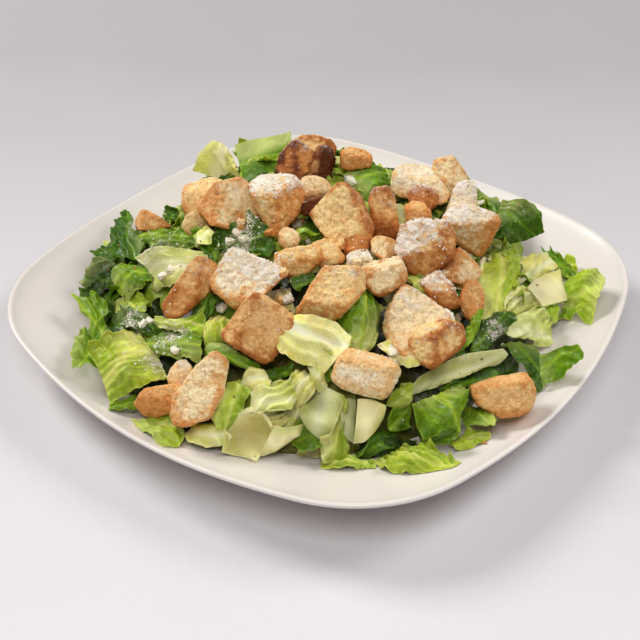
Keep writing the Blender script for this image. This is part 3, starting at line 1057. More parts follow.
for share, tone in ((np.maximum(front, right), linear(128, 124, 44)), (far, linear(74, 108, 22))):
    core_tint = core_tint + (np.array(tone) - core_tint) * share[:, None]
core_tint[:2 * core_count] *= np.tile(blade_light, 2)[:, None]
core_tints = np.column_stack([core_tint, np.zeros(len(core_tint))])
core_rim = np.zeros(len(core_points), bool)
romaine_piece("romaine_packed", [
    (core_points, core_quads, core_tints, core_rim, np.zeros(len(core_points))),
])

# the leaf pieces that lie on top and show
shown_leaves = [
    leaf_sheet(leaf, SHOWN_SEED + 13 * k, BLADE_CELL) for k, leaf in enumerate(LEAVES)
]
shown_a = romaine_piece("romaine_showing_a", shown_leaves[0::2])
shown_b = romaine_piece("romaine_showing_b", shown_leaves[1::2])

# the croutons, as one surface to ask what lies over or under a place
DOWN = Vector((0, 0, -1))
crouton_names = sorted(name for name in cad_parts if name.startswith("crouton"))
crouton_points, crouton_faces = [], []
for name in crouton_names:
    first_index = len(crouton_points)
    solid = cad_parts[name].data
    crouton_points.extend(v.co.copy() for v in solid.vertices)
    crouton_faces.extend([first_index + i for i in p.vertices] for p in solid.polygons)
crouton_tree = BVHTree.FromPolygons(crouton_points, crouton_faces)
eye_spot = eye_holder.location


def surface_of(sheets):
    """Everything laid so far as one surface, in the plate's axes."""
    points, quads = joined(sheets)
    return BVHTree.FromPolygons(points.tolist(), quads.tolist())


shown_tree = surface_of([(in_row(points), quads) for points, quads in (shown_a, shown_b)])


def covers_crouton(points):
    """The share of a leaf's places that lie over a crouton or stand before one."""
    covered = 0
    picked = in_row(points[:len(points) // 2:9])
    for spot in picked:
        place = Vector(spot)
        sight = (place - eye_spot).normalized()
        over = crouton_tree.ray_cast(place, DOWN, 0.02)[0] is not None
        before = crouton_tree.ray_cast(place, sight, 0.035)[0] is not None
        covered += over or before
    return covered / len(picked)


def hides_shown(points):
    """The share of a leaf's places that stand before one of the showing leaves."""
    picked = in_row(points[:len(points) // 2:7])
    hidden = 0
    for spot in picked:
        sight = (Vector(spot) - eye_spot).normalized()
        hit = shown_tree.ray_cast(Vector(spot) + sight * 0.0012, sight, 0.03)
        hidden += hit[0] is not None
    return hidden / len(picked)


def touches(points, spots):
    """Whether any place comes within one of the spots x, y, radius."""
    return any(np.hypot(points[:, 0] - x, points[:, 1] - y).min() < radius
               for x, y, radius in spots)


# more pieces under and between those, by what grows where: dark at the left, pale heart
# leaves at the front, light ones at the right, and a mixture at the far side
FILL_COUNT = 420
FLANK_COUNT = 130
FILL_CELL = 1.6
FLANK_CELL = 2.1
FLANK_TOP = 46.0
MOST_OVER_CROUTONS = 0.06
MOST_BEFORE_SHOWN = 0.12
USUAL_FILL_SHADE = 0.72
FILL_MIXES = {
    "left": "dark dark darkest mid dark mid light",
    "front_left": "light mid light dark pale mid",
    "front": "pale light cream pale mid light",
    "front_right": "mid dark light mid pale",
    "right": "light pale light mid cream",
    "middle": "mid light dark pale light",
    "far": "mid light dark mid pale light",
}
FILL_SHADES = {"front": 0.66, "left": 0.75, "front_left": 0.75, "right": 0.82, "far": 0.85}
# places over the plate's rim that stay in sight: x, y, radius, at this height
SIGHT_HEIGHT = 22
OPEN_SIGHTS = [
    (33, 125, 6), (45, 119, 8), (57, 116, 6), (-70, 112, 8), (-72, 98, 5), (-80, 74, 7),
    (-82, 64, 4), (98, 79, 8), (94, 88, 5), (100, 70, 5),
]


def bars_sight(points):
    eye_at = EYE_AIM + eye_back * EYE_DISTANCE
    reach = (SIGHT_HEIGHT - eye_at[2]) / (points[:, 2] - eye_at[2])
    seen = eye_at[:2] + (points[:, :2] - eye_at[:2]) * reach[:, None]
    return touches(seen, OPEN_SIGHTS)


def region_of(x, y):
    if y > 48:
        return "far"
    if math.hypot(x, y - HEAP_MIDDLE_Y) < 48:
        return "middle"
    if x < -45:
        return "left" if y > -42 else "front_left"
    if x > 62:
        return "right" if y > -32 else "front_right"
    return "front_left" if x < -30 else "front" if x < 32 else "front_right"


fill_chance = np.random.default_rng(4)
fill_sheets = []
for k in range(FILL_COUNT + FLANK_COUNT):
    share = math.sqrt((k + 0.5) / FILL_COUNT) * 0.985
    angle = k * SUNFLOWER_TURN + fill_chance.uniform(-0.08, 0.08)
    length = fill_chance.uniform(15, 31)
    width = fill_chance.uniform(11, 21)
    heading = angle + math.pi / 2 * round(fill_chance.uniform(0, 1))
    heading += fill_chance.uniform(-0.8, 0.8)
    hangs = k >= FILL_COUNT
    if hangs:
        # larger ones that hang down the flanks that the diner doesn't see
        share = fill_chance.uniform(0.85, 1.0)
        angle = fill_chance.uniform(-0.25, 3.9)
        length, width = length + 6, width + 6
        heading = angle + fill_chance.uniform(-0.5, 0.5)
    reach = float(heap_reach(np.array(angle)))
    radius = min(share * reach, reach - 0.36 * length)
    x = radius * math.cos(angle)
    y = HEAP_MIDDLE_Y + radius * math.sin(angle)
    lift = fill_chance.uniform(-1.5, 2.5) + (1.5 if y > 55 else 0)
    dx, dy = math.cos(heading) * length / 2, math.sin(heading) * length / 2
    region = region_of(x, y)
    mix = FILL_MIXES[region].split()
    kind = mix[fill_chance.integers(len(mix))]
    leaf = (
        (x - dx, y - dy, lift + fill_chance.uniform(-1, 1)),
        (x + dx, y + dy, lift + fill_chance.uniform(-1, 2)),
        fill_chance.uniform(-16, 16),
        fill_chance.uniform(0, 3),
        fill_chance.uniform(-55, 35),
        fill_chance.uniform(0.6, 2.6),
        kind,
        dict(shade=FILL_SHADES.get(region, USUAL_FILL_SHADE)),
        "",
    )
    sheet = leaf_sheet(leaf, FILL_SEED + 17 * k, FLANK_CELL if hangs else FILL_CELL, width)
    spots = sheet[0]
    if hangs and spots[:, 2].max() > FLANK_TOP:
        continue
    if touches(spots, GAPS) or covers_crouton(spots) >= MOST_OVER_CROUTONS:
        continue
    if hides_shown(spots) < MOST_BEFORE_SHOWN and not bars_sight(spots):
        fill_sheets.append(sheet)
half_of_fill = len(fill_sheets) // 2
fill_a = romaine_piece("romaine_under_a", fill_sheets[:half_of_fill])
fill_b = romaine_piece("romaine_under_b", fill_sheets[half_of_fill:])

# ---- croutons -------------------------------------------------------------------------
# Day-old bread cut by hand into uneven cubes and fried with oil until the edges and one
# side or another brown; open crumb, worn corners, grated parmesan caught on the tops.
BREAD_TONES = {
    "cream": linear(255, 238, 202),
    "pale": linear(255, 229, 180),
    "gold": linear(253, 218, 152),
    "tan": linear(240, 192, 126),
    "orange": linear(222, 150, 80),
    "brown": linear(182, 108, 48),
    "mahogany": linear(98, 44, 17),
}
# crumb tone, crust tone, share browned, the browned side as the diner sees it, cheese and
# the side it fell on; then how it was cut, in millimetres about its own middle: the corners
# of its outline, the lean of its front, and ridges, each with two ends and the degrees by
# which the face on its right falls away
ABOVE = (0, 0.4, 0.9)
CROUTONS = [
    ("gold", "brown", 0.7, (1, 0, 0.2), 0.1, ABOVE,
     "-8 -3 -1 -5 7 -3 8 1 5 4 0 6 -7 6 -11 4", (0.1, 0.35), [(4, -5, 4, 5, 50)]),
    ("orange", "mahogany", 0.5, (-0.5, -0.5, -0.2), 0.5, (0.2, 0.4, 0.5),
     "-3 -8 2 -11 7 -4 10 3 2 9 -1 8 -6 2 -8 -6", (-0.3, 0.1), [(2, -11, 1, 9, 55)]),
    ("tan", "mahogany", 1.7, (1, 0, 0.1), 0.3, ABOVE,
     "-5 -9 3 -8 6 -2 7 4 0 8 -3 8 -7 3 -11 -8", (-0.35, 0.05), [(-5, -9, -1, 8, 75)]),
    ("tan", "orange", 0.7, (0, -1, -0.4), 0.1, ABOVE,
     "-7 -4 -3 -5 6 -4 7 1 3 4 -3 5 -7 3", (0, -0.1), [(7, 0, -7, 2, 50)]),
    ("pale", "tan", 0.4, (0, 0, -1), 0.1, ABOVE,
     "-6 -5 1 -5 5 -4 7 0 5 3 1 5 -5 5 -6 2", (0.05, 0.15), [(-6, -2, 6, -1, 55)]),
    ("orange", "mahogany", 0.8, (0, -0.4, 1), 0.15, ABOVE,
     "-4 -3 2 -2 7 3 4 5 -3 3 -5 2", (0, -0.2), []),
    ("gold", "brown", 0.5, (1, 0, 0.1), 0.3, (0.8, 0.4, 0.4),
     "-3 -12 0 -13 13 -7 14 -3 8 10 2 15 -1 15 -13 2",
     (-0.05, 0.18), [(12, -4, 3, 14, 58), (-1, -11, 12, -4, 38)]),
    ("orange", "brown", 0.7, (0, -0.6, -0.8), 0.1, ABOVE,
     "", None, None),
    ("tan", "brown", 0.8, (-0.3, -0.7, -0.6), 0.35, ABOVE,
     "-5 -10 1 -12 4 -11 5 -6 3 8 0 12 -6 11 -8 6",
     (-0.15, 0.05), [(3, -10, 1, 9, 50), (-7, -4, 5, -4, 32)]),
    ("pale", "orange", 0.5, (0, -0.4, -1), 0.1, ABOVE,
     "-4 -2 0 -5 5 -3 6 2 3 4 -3 5 -5 3", (0, 0.2), [(1, -5, 2, 4, 45)]),
    ("gold", "orange", 0.8, (1, -0.5, -0.2), 0.95, (-0.2, 0.7, 0.8),
     "-5 -1 0 -15 4 -14 15 -1 15 7 10 13 -3 13 -10 8",
     (-0.35, -0.1), [(14, 7, -7, 4, 62), (2, -14, 5, 5, 52)]),
    ("pale", "orange", 0.75, (-1, -0.3, -0.2), 0.3, ABOVE,
     "-8 -9 8 -13 13 -10 14 4 5 11 -6 9 -14 -2",
     (0.05, 0.2), [(-5, 7, -7, -9, 48), (5, -11, 4, 10, 30)]),
    ("gold", "orange", 0.4, (0, -0.5, -0.7), 0.2, ABOVE,
     "-6 -8 2 -9 8 -5 11 8 5 10 -7 6 -8 -3", (-0.15, -0.05), [(7, 4, -8, 3, 48)]),
    ("gold", "tan", 0.6, (0, -0.6, -0.8), 0.15, ABOVE,
     "-3 -6 5 -5 6 -1 3 2 0 4 -4 2 -6 -3", (0.1, 0.1), [(0, -4, 0, 3, 35)]),
    ("tan", "orange", 0.7, (0.2, -0.8, -0.4), 0.2, ABOVE,
     "-8 -4 2 -5 7 -2 2 2 -4 5 -6 5 -9 0", (-0.1, 0.1), [(-5, 5, -6, -3, 50), (6, -2, -3, 4, 55)]),
    ("pale", "tan", 0.4, (0, 0, -1), 0.25, ABOVE,
     "-4 -3 -1 -6 2 -5 4 -2 4 1 0 4 -3 3 -4 0", (-0.1, 0.25), [(-4, -2, 4, -2, 45)]),
    ("gold", "orange", 0.6, (0, -0.5, -1), 0.2, ABOVE,
     "-10 -3 -7 -7 0 -7 5 -3 9 1 8 6 3 7 -4 5 -10 4", (0, 0.35), [(-9, -1, 8, 2, 52)]),
    ("gold", "orange", 0.5, (0.6, -0.3, -0.6), 0.15, ABOVE,
     "-8 -4 -4 -7 3 -5 4 -2 0 3 -3 5 -9 3", (0.1, 0.3), [(-8, -2, 4, -3, 45)]),
    ("cream", "orange", 0.55, (-0.2, -0.6, -1), 0.8, (0.3, 0.2, 0.9),
     "-13 -6 -4 -13 6 -8 14 -1 15 2 10 5 -5 11 -7 10 -14 -2",
     (-0.05, 0.4), [(-14, -4, 3, -10, 70), (-6, 10, -2, -11, 16)]),
    ("tan", "brown", 0.5, (0.2, -0.6, -0.8), 0.25, ABOVE,
     "-12 -4 1 -12 4 -13 7 -11 14 0 15 5 3 13 0 14 -3 12 -13 -2",
     (0.2, -0.12), [(-1, 12, -7, -6, 52), (14, 3, 1, 12, 60), (-8, -6, 5, -12, 45)]),
    ("gold", "orange", 0.6, (-0.5, -0.6, -0.6), 0.35, (0.4, 0.5, 0.7),
     "-10 -9 -5 -10 2 -12 8 -7 16 2 16 10 11 11 0 11 -5 4 -11 -7",
     (-0.1, 0.3), [(-9, -3, 7, -4, 48), (11, -2, 13, 10, 60)]),
    ("pale", "brown", 0.4, (0, -0.4, -1), 0.3, ABOVE,
     "-9 -2 -6 -6 -2 -8 7 -3 8 1 5 8 -5 6 -10 3",
     (0, -0.05), [(6, 5, -10, 2, 58), (5, -6, 6, 5, 50), (-6, 3, -5, -7, 35)]),
    ("cream", "gold", 0.3, (0, 0, -1), 1.0, ABOVE,
     "", None, None),
    ("tan", "brown", 0.75, (0.7, -0.5, -0.5), 1.1, (-0.7, 0.4, 0.6),
     "-6 -10 0 -14 12 -4 13 5 9 11 -3 11 -9 9 -12 -1",
     (-0.1, 0.25), [(-10, -4, 12, 0, 45), (6, -10, 8, 11, 35)]),
    ("tan", "orange", 0.9, (0, -0.7, -0.7), 0.15, ABOVE,
     "-2 -4 1 -4 7 -3 7 2 4 6 -2 6 -4 4", (0, 0.05), [(7, 3, -3, 3, 40)]),
    ("orange", "brown", 0.7, (0, -0.8, -0.5), 0.6, ABOVE,
     "-5 -3 0 -6 5 -3 6 1 2 5 -1 6 -6 4 -7 1", (-0.2, 0.15), [(1, -6, 2, 5, 50)]),
    ("cream", "tan", 0.8, (0, -0.5, -1), 0.35, ABOVE,
     "-8 -8 12 -12 16 -8 6 5 -5 6 -10 3 -11 -5",
     (-0.05, 0.1), [(13, -3, -10, 1, 40), (13, -12, 6, 4, 35)]),
    ("pale", "orange", 0.4, (0.5, -0.2, -1), 0.2, ABOVE,
     "-6 -7 0 -11 7 -5 8 -1 1 8 -7 6 -9 -1", (0, 0.2), [(0, -10, 2, 7, 40), (-8, -4, 7, -4, 40)]),
    ("cream", "gold", 0.4, (0, -0.3, -1), 0.7, ABOVE,
     "-6 -3 -8 -8 -5 -12 2 -11 6 -6 6 2 5 6 1 7 -4 5", (-0.1, 0.3), [(4, -10, 4, 6, 50)]),
    ("cream", "orange", 0.9, (0.4, -0.6, -0.8), 0.8, (-0.3, 0.5, 0.7),
     "-9 -5 -2 -9 5 -12 8 -8 13 3 11 6 6 8 -2 10 -8 9 -12 4", (-0.05, 0.45), [(-9, 1, 12, 3, 60)]),
    ("pale", "orange", 1.0, (-1, 0.2, 0.1), 0.15, ABOVE,
     "-6 -6 3 -7 7 -5 9 -2 7 2 0 8 -2 7 -10 -2", (-0.45, 0.1), [(-3, -7, 1, 7, 55)]),
    ("tan", "brown", 0.8, (0, -0.5, -1), 1.0, ABOVE,
     "-2 -6 4 -8 8 -6 5 2 -1 7 -5 5 -8 3", (0, 0.3), [(-7, -1, 7, -2, 40)]),
    ("tan", "orange", 0.9, (0.2, -0.7, -0.6), 0.1, ABOVE,
     "-3 -5 1 -8 5 -1 5 4 2 9 -2 9 -5 1", (-0.35, 0), [(0, -8, 0, 9, 55)]),
    ("pale", "orange", 0.5, (0, -0.6, -1), 0.4, ABOVE,
     "-8 -10 0 -16 6 -15 17 -6 15 1 11 8 2 13 -2 16 -5 15 -11 5 -12 -3",
     (-0.05, 0.3), [(-10, 9, -10, -6, 60), (-10, -7, 1, -15, 55)]),
    ("gold", "brown", 0.7, (0.9, -0.5, -0.2), 0.35, ABOVE,
     "-6 -6 -2 -8 1 -6 10 1 11 4 9 9 2 11 -4 9 -7 8 -10 4 -11 1",
     (-0.3, -0.1), [(-1, -8, -1, 4, 60), (11, 5, -11, 4, 55)]),
    ("cream", "tan", 0.7, (0, 0.3, 1), 0.15, ABOVE,
     "-11 -3 -7 -6 7 -9 9 -8 14 1 12 4 7 7 -6 10 -7 9 -10 5 -12 -1",
     (-0.05, 0.0), [(13, 2, -9, 6, 52), (8, -9, 11, 4, 55), (-11, -3, 8, -6, 42)]),
    ("tan", "orange", 0.6, (-0.2, -0.6, -1), 0.1, ABOVE,
     "-11 -3 -2 -8 8 -6 10 -3 11 3 9 7 7 9 1 8 -5 7 -13 4",
     (-0.05, -0.05), [(9, 6, -12, 3, 55), (6, -6, 7, 7, 45)]),
    ("tan", "brown", 0.7, (-0.3, -0.8, -0.4), 0.3, (0.4, 0.5, 0.7),
     "-9 -10 -7 -13 -2 -12 9 -3 13 6 11 10 6 12 3 12 1 9 -9 -2 -10 -7",
     (-0.3, 0.05), [(3, -8, 6, 11, 55)]),
    ("pale", "orange", 0.5, (0.3, -0.5, -0.8), 0.25, ABOVE,
     "-9 -13 -5 -14 4 -11 9 -2 11 10 9 12 6 14 4 13 -1 8 -9 -3 -10 -10",
     (-0.1, 0.15), [(5, -10, 10, 11, 50), (-9, -5, -5, -14, 35)]),
    ("tan", "orange", 0.9, (0, -0.8, -0.5), 0.25, ABOVE,
     "-5 -6 0 -7 5 -5 8 -1 9 6 1 5 -5 4 -7 2 -9 -2", (-0.1, 0.15), [(-8, 0, 7, 0, 38)]),
    ("pale", "tan", 0.4, (0, 0, -1), 0.5, ABOVE,
     "-3 -7 0 -7 3 -5 5 0 3 3 0 3 -3 0 -4 -4", (0, 0.2), [(-3, -2, 5, -1, 35)]),
]
CRUMB_CELL = 0.00073
WORN_EDGE = 0.0006
BUBBLES_MM = (2.6, 1.4)

toast = Finish("fried_bread")
toast_paint = toast.add("ShaderNodeVertexColor", {"layer_name": "tint"})
toast_grain = toast.spread(toast.grain(0.9, 4, 0.75), 0.32, 0.68, 0.76, 1.28)
toast_grey = toast.grey(toast_grain, toast.reckon("POWER", toast_grain, 1.25),
                        toast.reckon("POWER", toast_grain, 1.7))
toast_colour = toast.blend(1.0, toast_paint.outputs["Color"], toast_grey, "MULTIPLY")
speck_share = toast.spread(toast.grain(4, 2), 0.35, 0.65, -0.03, 0.06)
speck_share = toast.reckon("ADD", toast.grain(0.62, 1), speck_share)
toast_colour = toast.blend(toast.spread(speck_share, 0.66, 0.74, 0.0, 0.45), toast_colour,
                           (*linear(128, 74, 34), 1.0))
toast_dust = toast.dusted(toast_paint.outputs["Alpha"])
toast_colour = toast.blend(toast_dust, toast_colour, CHEESE_TONE)
crumb_bump = toast.grained(1.3, 3, 0.6, 0.8)
crumb_bump = toast.grained(0.6, 2, 0.4, 0.8, crumb_bump)
toast.set(
    Base_Color=toast_colour,
    Roughness=toast.varied(3, 3, 0.55, 0.85),
    Normal=toast.relief(toast_dust, 0.25, 0.8, crumb_bump),
    Specular_IOR_Level=0.3,
    Subsurface_Weight=0.12,
    Subsurface_Scale=0.001,
    Subsurface_Radius=(1.0, 0.6, 0.3),
)


def remeshed(source, cell):
    """A fine even mesh over a CAD solid: its points and quads."""
    rough = bpy.data.objects.new("rough", source.copy())
    bpy.context.scene.collection.objects.link(rough)
    remesh = rough.modifiers.new("even", "REMESH")
    remesh.mode = "VOXEL"
    remesh.voxel_size = cell
    graph = bpy.context.evaluated_depsgraph_get()
    fine = bpy.data.meshes.new_from_object(rough.evaluated_get(graph))
    points = np.empty(len(fine.vertices) * 3)
    fine.vertices.foreach_get("co", points)
    quads = np.empty(len(fine.loops), np.int32)
    fine.loops.foreach_get("vertex_index", quads)
    bpy.data.objects.remove(rough)
    bpy.data.meshes.remove(fine)
    return points.reshape(-1, 3), quads.reshape(-1, 4)


def gathered(indices, values, count):
    """The sum of the values of each index, axis by axis."""
    return np.stack([np.bincount(indices, weights=column, minlength=count)
                     for column in values.T], 1)


def eased(points, quads, rounds):
    """Each point moved to the middle of its neighbours, again and again."""
    ends = np.concatenate([quads[:, [k, (k + 1) % 4]] for k in range(4)])
    ends = np.concatenate([ends, ends[:, ::-1]])
    degree = np.bincount(ends[:, 0], minlength=len(points))[:, None]
    for _ in range(rounds):
        points = gathered(ends[:, 0], points[ends[:, 1]], len(points)) / degree
    return points


def point_normals(points, quads):
    across_one = points[quads[:, 2]] - points[quads[:, 0]]
    across_two = points[quads[:, 3]] - points[quads[:, 1]]
    flat_normals = np.cross(across_one, across_two)
    total = sum(gathered(quads[:, corner], flat_normals, len(points)) for corner in range(4))
    return total / np.maximum(np.linalg.norm(total, axis=1, keepdims=True), 1e-20)


def pits(points_mm, size, seed):
    """Open crumb: 1 in the middle of a bubble, 0 away from it."""
    shift = Vector((seed * 3.1, seed * 1.7, seed * 2.3))
    nearest = [noise.voronoi(Vector(p) / size + shift)[0][0] for p in points_mm]
    return np.maximum(0.0, 1 - 2.0 * np.array(nearest))


def lumps(points_mm, size, octaves, seed):
    """Rises and dips about size millimetres across, with octaves of finer ones in them."""
    shift = Vector((seed * 5.3, seed * 2.9, seed * 1.1))
    return np.array([
        noise.fractal(Vector(p) / size + shift, 0.8, 2.1, octaves) for p in points_mm
    ])


def eased_step(value):
    value = np.clip(value, 0, 1)
    return value ** 2 * (3 - 2 * value)


def fried(points, quads, look, seed, growth_mm):
    """Bread made from a smooth lump: its rough points, and its colours with the cheese."""
    crumb, crust, browned, brown_side, cheese, cheese_side = look
    crumb, crust = np.array(BREAD_TONES[crumb]), np.array(BREAD_TONES[crust])
    soft = eased(points, quads, 12)
    normals = point_normals(points, quads)
    edge_on = np.clip(np.einsum("ij,ij->i", points - soft, normals) / WORN_EDGE, -0.3, 1.3)
    from_middle = points - (points.max(0) + points.min(0)) / 2
    half = np.abs(from_middle).max()
    points_mm = points * 1000
    bubbles = pits(points_mm, BUBBLES_MM[0], seed)
    small_bubbles = pits(points_mm, BUBBLES_MM[1], seed + 50)
    swell = lumps(points_mm, 4.0, 4, seed)
    broad = lumps(points_mm, 11.0, 2, seed + 250)
    rubble = lumps(points_mm, 1.8, 2, seed + 350)
    grit = lumps(points_mm, 1.05, 1, seed + 450)
    grain_mm = 0.3 * broad + 0.25 * swell + 0.3 * rubble + 0.2 * grit
    grain_mm = grain_mm - 0.6 * bubbles - 0.45 * small_bubbles + 0.15
    grown = from_middle * growth_mm * 0.001 / half
    points = points + grown + normals * grain_mm[:, None] * 0.001
    browned_way = in_row(brown_side) / np.linalg.norm(in_row(brown_side))
    towards = 0.55 * eased_step(0.45 + 0.6 * from_middle @ browned_way / half)
    towards = towards + 0.55 * np.clip(normals @ browned_way, 0, 1)
    patch = lumps(points_mm, 6.0, 3, seed + 100)
    fleck = lumps(points_mm, 1.7, 2, seed + 300)
    # one face burnt all over has no darker rim to it
    rim = 0.1 if browned > 1 else 0.45 + 0.5 * browned
    toasted = browned * towards + edge_on * rim
    toasted = eased_step(toasted + 0.5 * patch + 0.32 * fleck + 0.12 * rubble - 0.12)[:, None]
    tint = crumb ** (1 - toasted) * crust ** toasted
    deep = np.clip(bubbles * 0.7 + small_bubbles * 0.5, 0, 1)[:, None]
    tint = tint * (1 - deep * np.array([0.25, 0.4, 0.5]))
    cheese_way = in_row(cheese_side) / np.linalg.norm(in_row(cheese_side))
    high = eased_step(0.3 + 0.75 * from_middle @ cheese_way / half)
    drifted = lumps(points_mm, 4.0, 2, seed + 200)
    covered = cheese * (0.15 + 1.15 * high) + (0.1 + 0.4 * cheese) * drifted
    covered = np.clip(covered, 0.03, 1) * np.clip(normals[:, 2] * 1.4 + 0.55, 0, 1)
    return points, np.column_stack([np.clip(tint, 0, 1), np.clip(covered, 0, 1)])


KNIFE_OVERSIZE = 1.5
KNIFE_FRONT = 0.92
KNIFE_CELL = 0.0011


def hand_cut(points, outline, lean, ridges):
    """A lump brought to the outline and the flat faces that the knife left: it is swollen,
    then every point beyond a stroke of the knife goes back to it."""
    middle = (points.max(0) + points.min(0)) / 2
    towards = np.array(eye_spot) - middle
    towards /= np.linalg.norm(towards)
    sideways = in_row((1000, 0, 0))
    across = sideways - towards * (sideways @ towards)
    across /= np.linalg.norm(across)
    axes = np.stack([across, np.cross(towards, across), towards])
    lump = (points - middle) @ axes.T * 1000
    outline = corners_of(outline, 1)
    (low, high), (left, right) = ((m[:, :2].min(0), m[:, :2].max(0)) for m in (lump, outline))
    wanted = (right - left) / (high - low)
    lump[:, :2] = (lump[:, :2] - (high + low) / 2) * wanted * KNIFE_OVERSIZE + (right + left) / 2
    strokes = []
    for corner, edge in zip(outline, np.roll(outline, -1, 0) - outline):
        way = np.array([edge[1], -edge[0], 0]) / np.hypot(*edge)
        strokes.append((way, corner @ way[:2]))
    front = np.array([*lean, 1.0])
    depth = lump[:, 2].max() * KNIFE_FRONT
    lump[:, 2] *= np.where(lump[:, 2] > 0, KNIFE_OVERSIZE, 1)
    flat_on = front / np.linalg.norm(front)
    strokes.append((flat_on, depth * flat_on[2]))
    for x0, y0, x1, y1, fall in ridges:
        start = np.array([x0, y0, depth - x0 * lean[0] - y0 * lean[1]])
        along = np.array([x1, y1, depth - x1 * lean[0] - y1 * lean[1]]) - start
        aside = np.cross(along, flat_on) / np.linalg.norm(along)
        way = math.cos(math.radians(fall)) * flat_on + math.sin(math.radians(fall)) * aside
        strokes.append((way, start @ way))
    for _ in range(4):
        for way, far in strokes:
            lump = lump - np.maximum(0, lump @ way - far)[:, None] * way
    return lump @ axes * 0.001 + middle


CROUTON_GROWTH = 0.7
FRAGMENT_GROWTH = 0.3
FRAGMENT_SEED, CLUMP_SEED = 400, 500
crouton_sheets = []
for k, (name, (*look, outline, lean, ridges)) in enumerate(zip(crouton_names, CROUTONS)):
    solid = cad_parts[name].data
    if outline:
        points, quads = remeshed(solid, KNIFE_CELL)
        solid = bpy.data.meshes.new("cut_" + name)
        solid.from_pydata(hand_cut(points, outline, lean, ridges).tolist(), [], quads.tolist())
    points, quads = remeshed(solid, CRUMB_CELL)
    points = eased(points, quads, 2)
    points, tints = fried(points, quads, look, k, CROUTON_GROWTH)
    crouton = mesh_piece("toasted_" + name, points, quads, toast.material, tints)
    crouton_sheets.append((points, quads))
    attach(crouton, "root")
    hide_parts(name)

# what has broken off and lies wedged between the croutons: x, y, length, crumb and crust
FRAGMENTS = [
    (-24, 0, 3, "orange", "brown"),
    (52, -20, 2.6, "pale", "orange"),
    (-10, 8, 2.6, "tan", "orange"),
    (14, -22, 3, "pale", "gold"),
    (55, -42, 3, "pale", "tan"),
    (-37, 8, 3.4, "tan", "orange"),
    (-17, -29, 3.2, "gold", "orange"),
    (-18, -45, 3, "tan", "orange"),
]


def pebble(cells):
    """A worn cube of half-length 1 with cells along each edge: its points and quads."""
    side = np.linspace(-1, 1, cells + 1)
    a, b = (g.ravel() for g in np.meshgrid(side, side, indexing="ij"))
    one = np.ones_like(a)
    sides = ((a, b, one), (b, a, -one), (one, a, b), (-one, b, a), (b, one, a), (a, -one, b))
    grid = np.arange((cells + 1) ** 2).reshape(cells + 1, cells + 1)
    flat = np.stack([grid[:-1, :-1], grid[1:, :-1], grid[1:, 1:], grid[:-1, 1:]], -1)
    flat = flat.reshape(-1, 4)
    corners = np.concatenate([np.stack(side, 1) for side in sides])
    quads = np.concatenate([flat + n * len(a) for n in range(6)])
    whole, place = np.unique(corners.round(6), axis=0, return_inverse=True)
    rounded = whole / np.linalg.norm(whole, axis=1, keepdims=True)
    return 0.75 * whole + 0.3 * rounded, place.ravel()[quads]


CROUTON_LIFT = 3


def wedged(x, y, size, chance, squash):
    """A pebble that lies where the diner sees x, y of the heap: points in metres, quads."""
    sight = (Vector(in_row((x, y, heap_top(x, y) + CROUTON_LIFT))) - eye_spot).normalized()
    hit = landing.ray_cast(eye_spot, sight)[0]
    points, quads = pebble(9)
    points = points * size * 0.5 * np.array(squash) * chance.uniform(0.75, 1.2, 3)
    turn = Matrix.Rotation(chance.uniform(0, 6.3), 3, "Z")
    turn = turn @ Matrix.Rotation(chance.uniform(-0.5, 0.5), 3, "X")
    middle = np.array(hit - sight * size * 0.0002)
    return points @ np.array(turn).T * 0.001 + middle, quads


laid = [(in_row(p), f) for p, f in (shown_a, shown_b, fill_a, fill_b)] + crouton_sheets
laid.append((plate_points * 0.001, plate_quads))
landing = surface_of(laid)
fragment_chance = np.random.default_rng(8)
fragment_sheets = []
for k, (x, y, size, crumb, crust) in enumerate(FRAGMENTS):
    points, quads = wedged(x, y, size, fragment_chance, (1, 1, 0.85))
    look = (crumb, crust, 0.5, (0, -0.6, -1), 0.25, ABOVE)
    points, tints = fried(points, quads, look, FRAGMENT_SEED + k, FRAGMENT_GROWTH)
    fragment_sheets.append((points, quads, tints))
fragment_points, fragment_quads, fragment_tints = joined(fragment_sheets)
fragments = mesh_piece("toasted_fragments", fragment_points, fragment_quads, toast.material,
                       fragment_tints)
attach(fragments, "root")
laid.append((fragment_points, fragment_quads))

# ---- parmesan -------------------------------------------------------------------------
# Hard cheese grated fine over the top: pale crumbs that lie singly on every leaf and in
# small drifts where they caught, and one ball of it pressed together.
parmesan = Finish("grated_parmesan")
parmesan.set(
    Base_Color=parmesan.ramp(parmesan.grain(1.8, 3), [
        (0.3, linear(240, 228, 194)),
        (0.6, linear(252, 247, 232)),
    ]),
    Roughness=parmesan.varied(1.2, 2, 0.55, 0.8),
    Normal=parmesan.grained(0.3, 3, 0.12, 0.6),
    Subsurface_Weight=0.2,
    Subsurface_Scale=0.0008,
    Subsurface_Radius=(1.0, 0.9, 0.6),
)
BALL_CELL = 0.0005
ball_points, ball_quads = remeshed(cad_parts["parmesan_nugget"].data, BALL_CELL)
ball_points = eased(ball_points, ball_quads, 2)
ball_normals = point_normals(ball_points, ball_quads)
ball_relief = 0.5 * lumps(ball_points * 1000, 1.3, 3, 7)
ball_relief = ball_relief - 0.4 * pits(ball_points * 1000, 1.5, 9)
ball_points = ball_points + ball_normals * ball_relief[:, None] * 0.001
ball = mesh_piece("parmesan_ball", ball_points, ball_quads, parmesan.material)
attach(ball, "root")
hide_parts("parmesan_nugget")

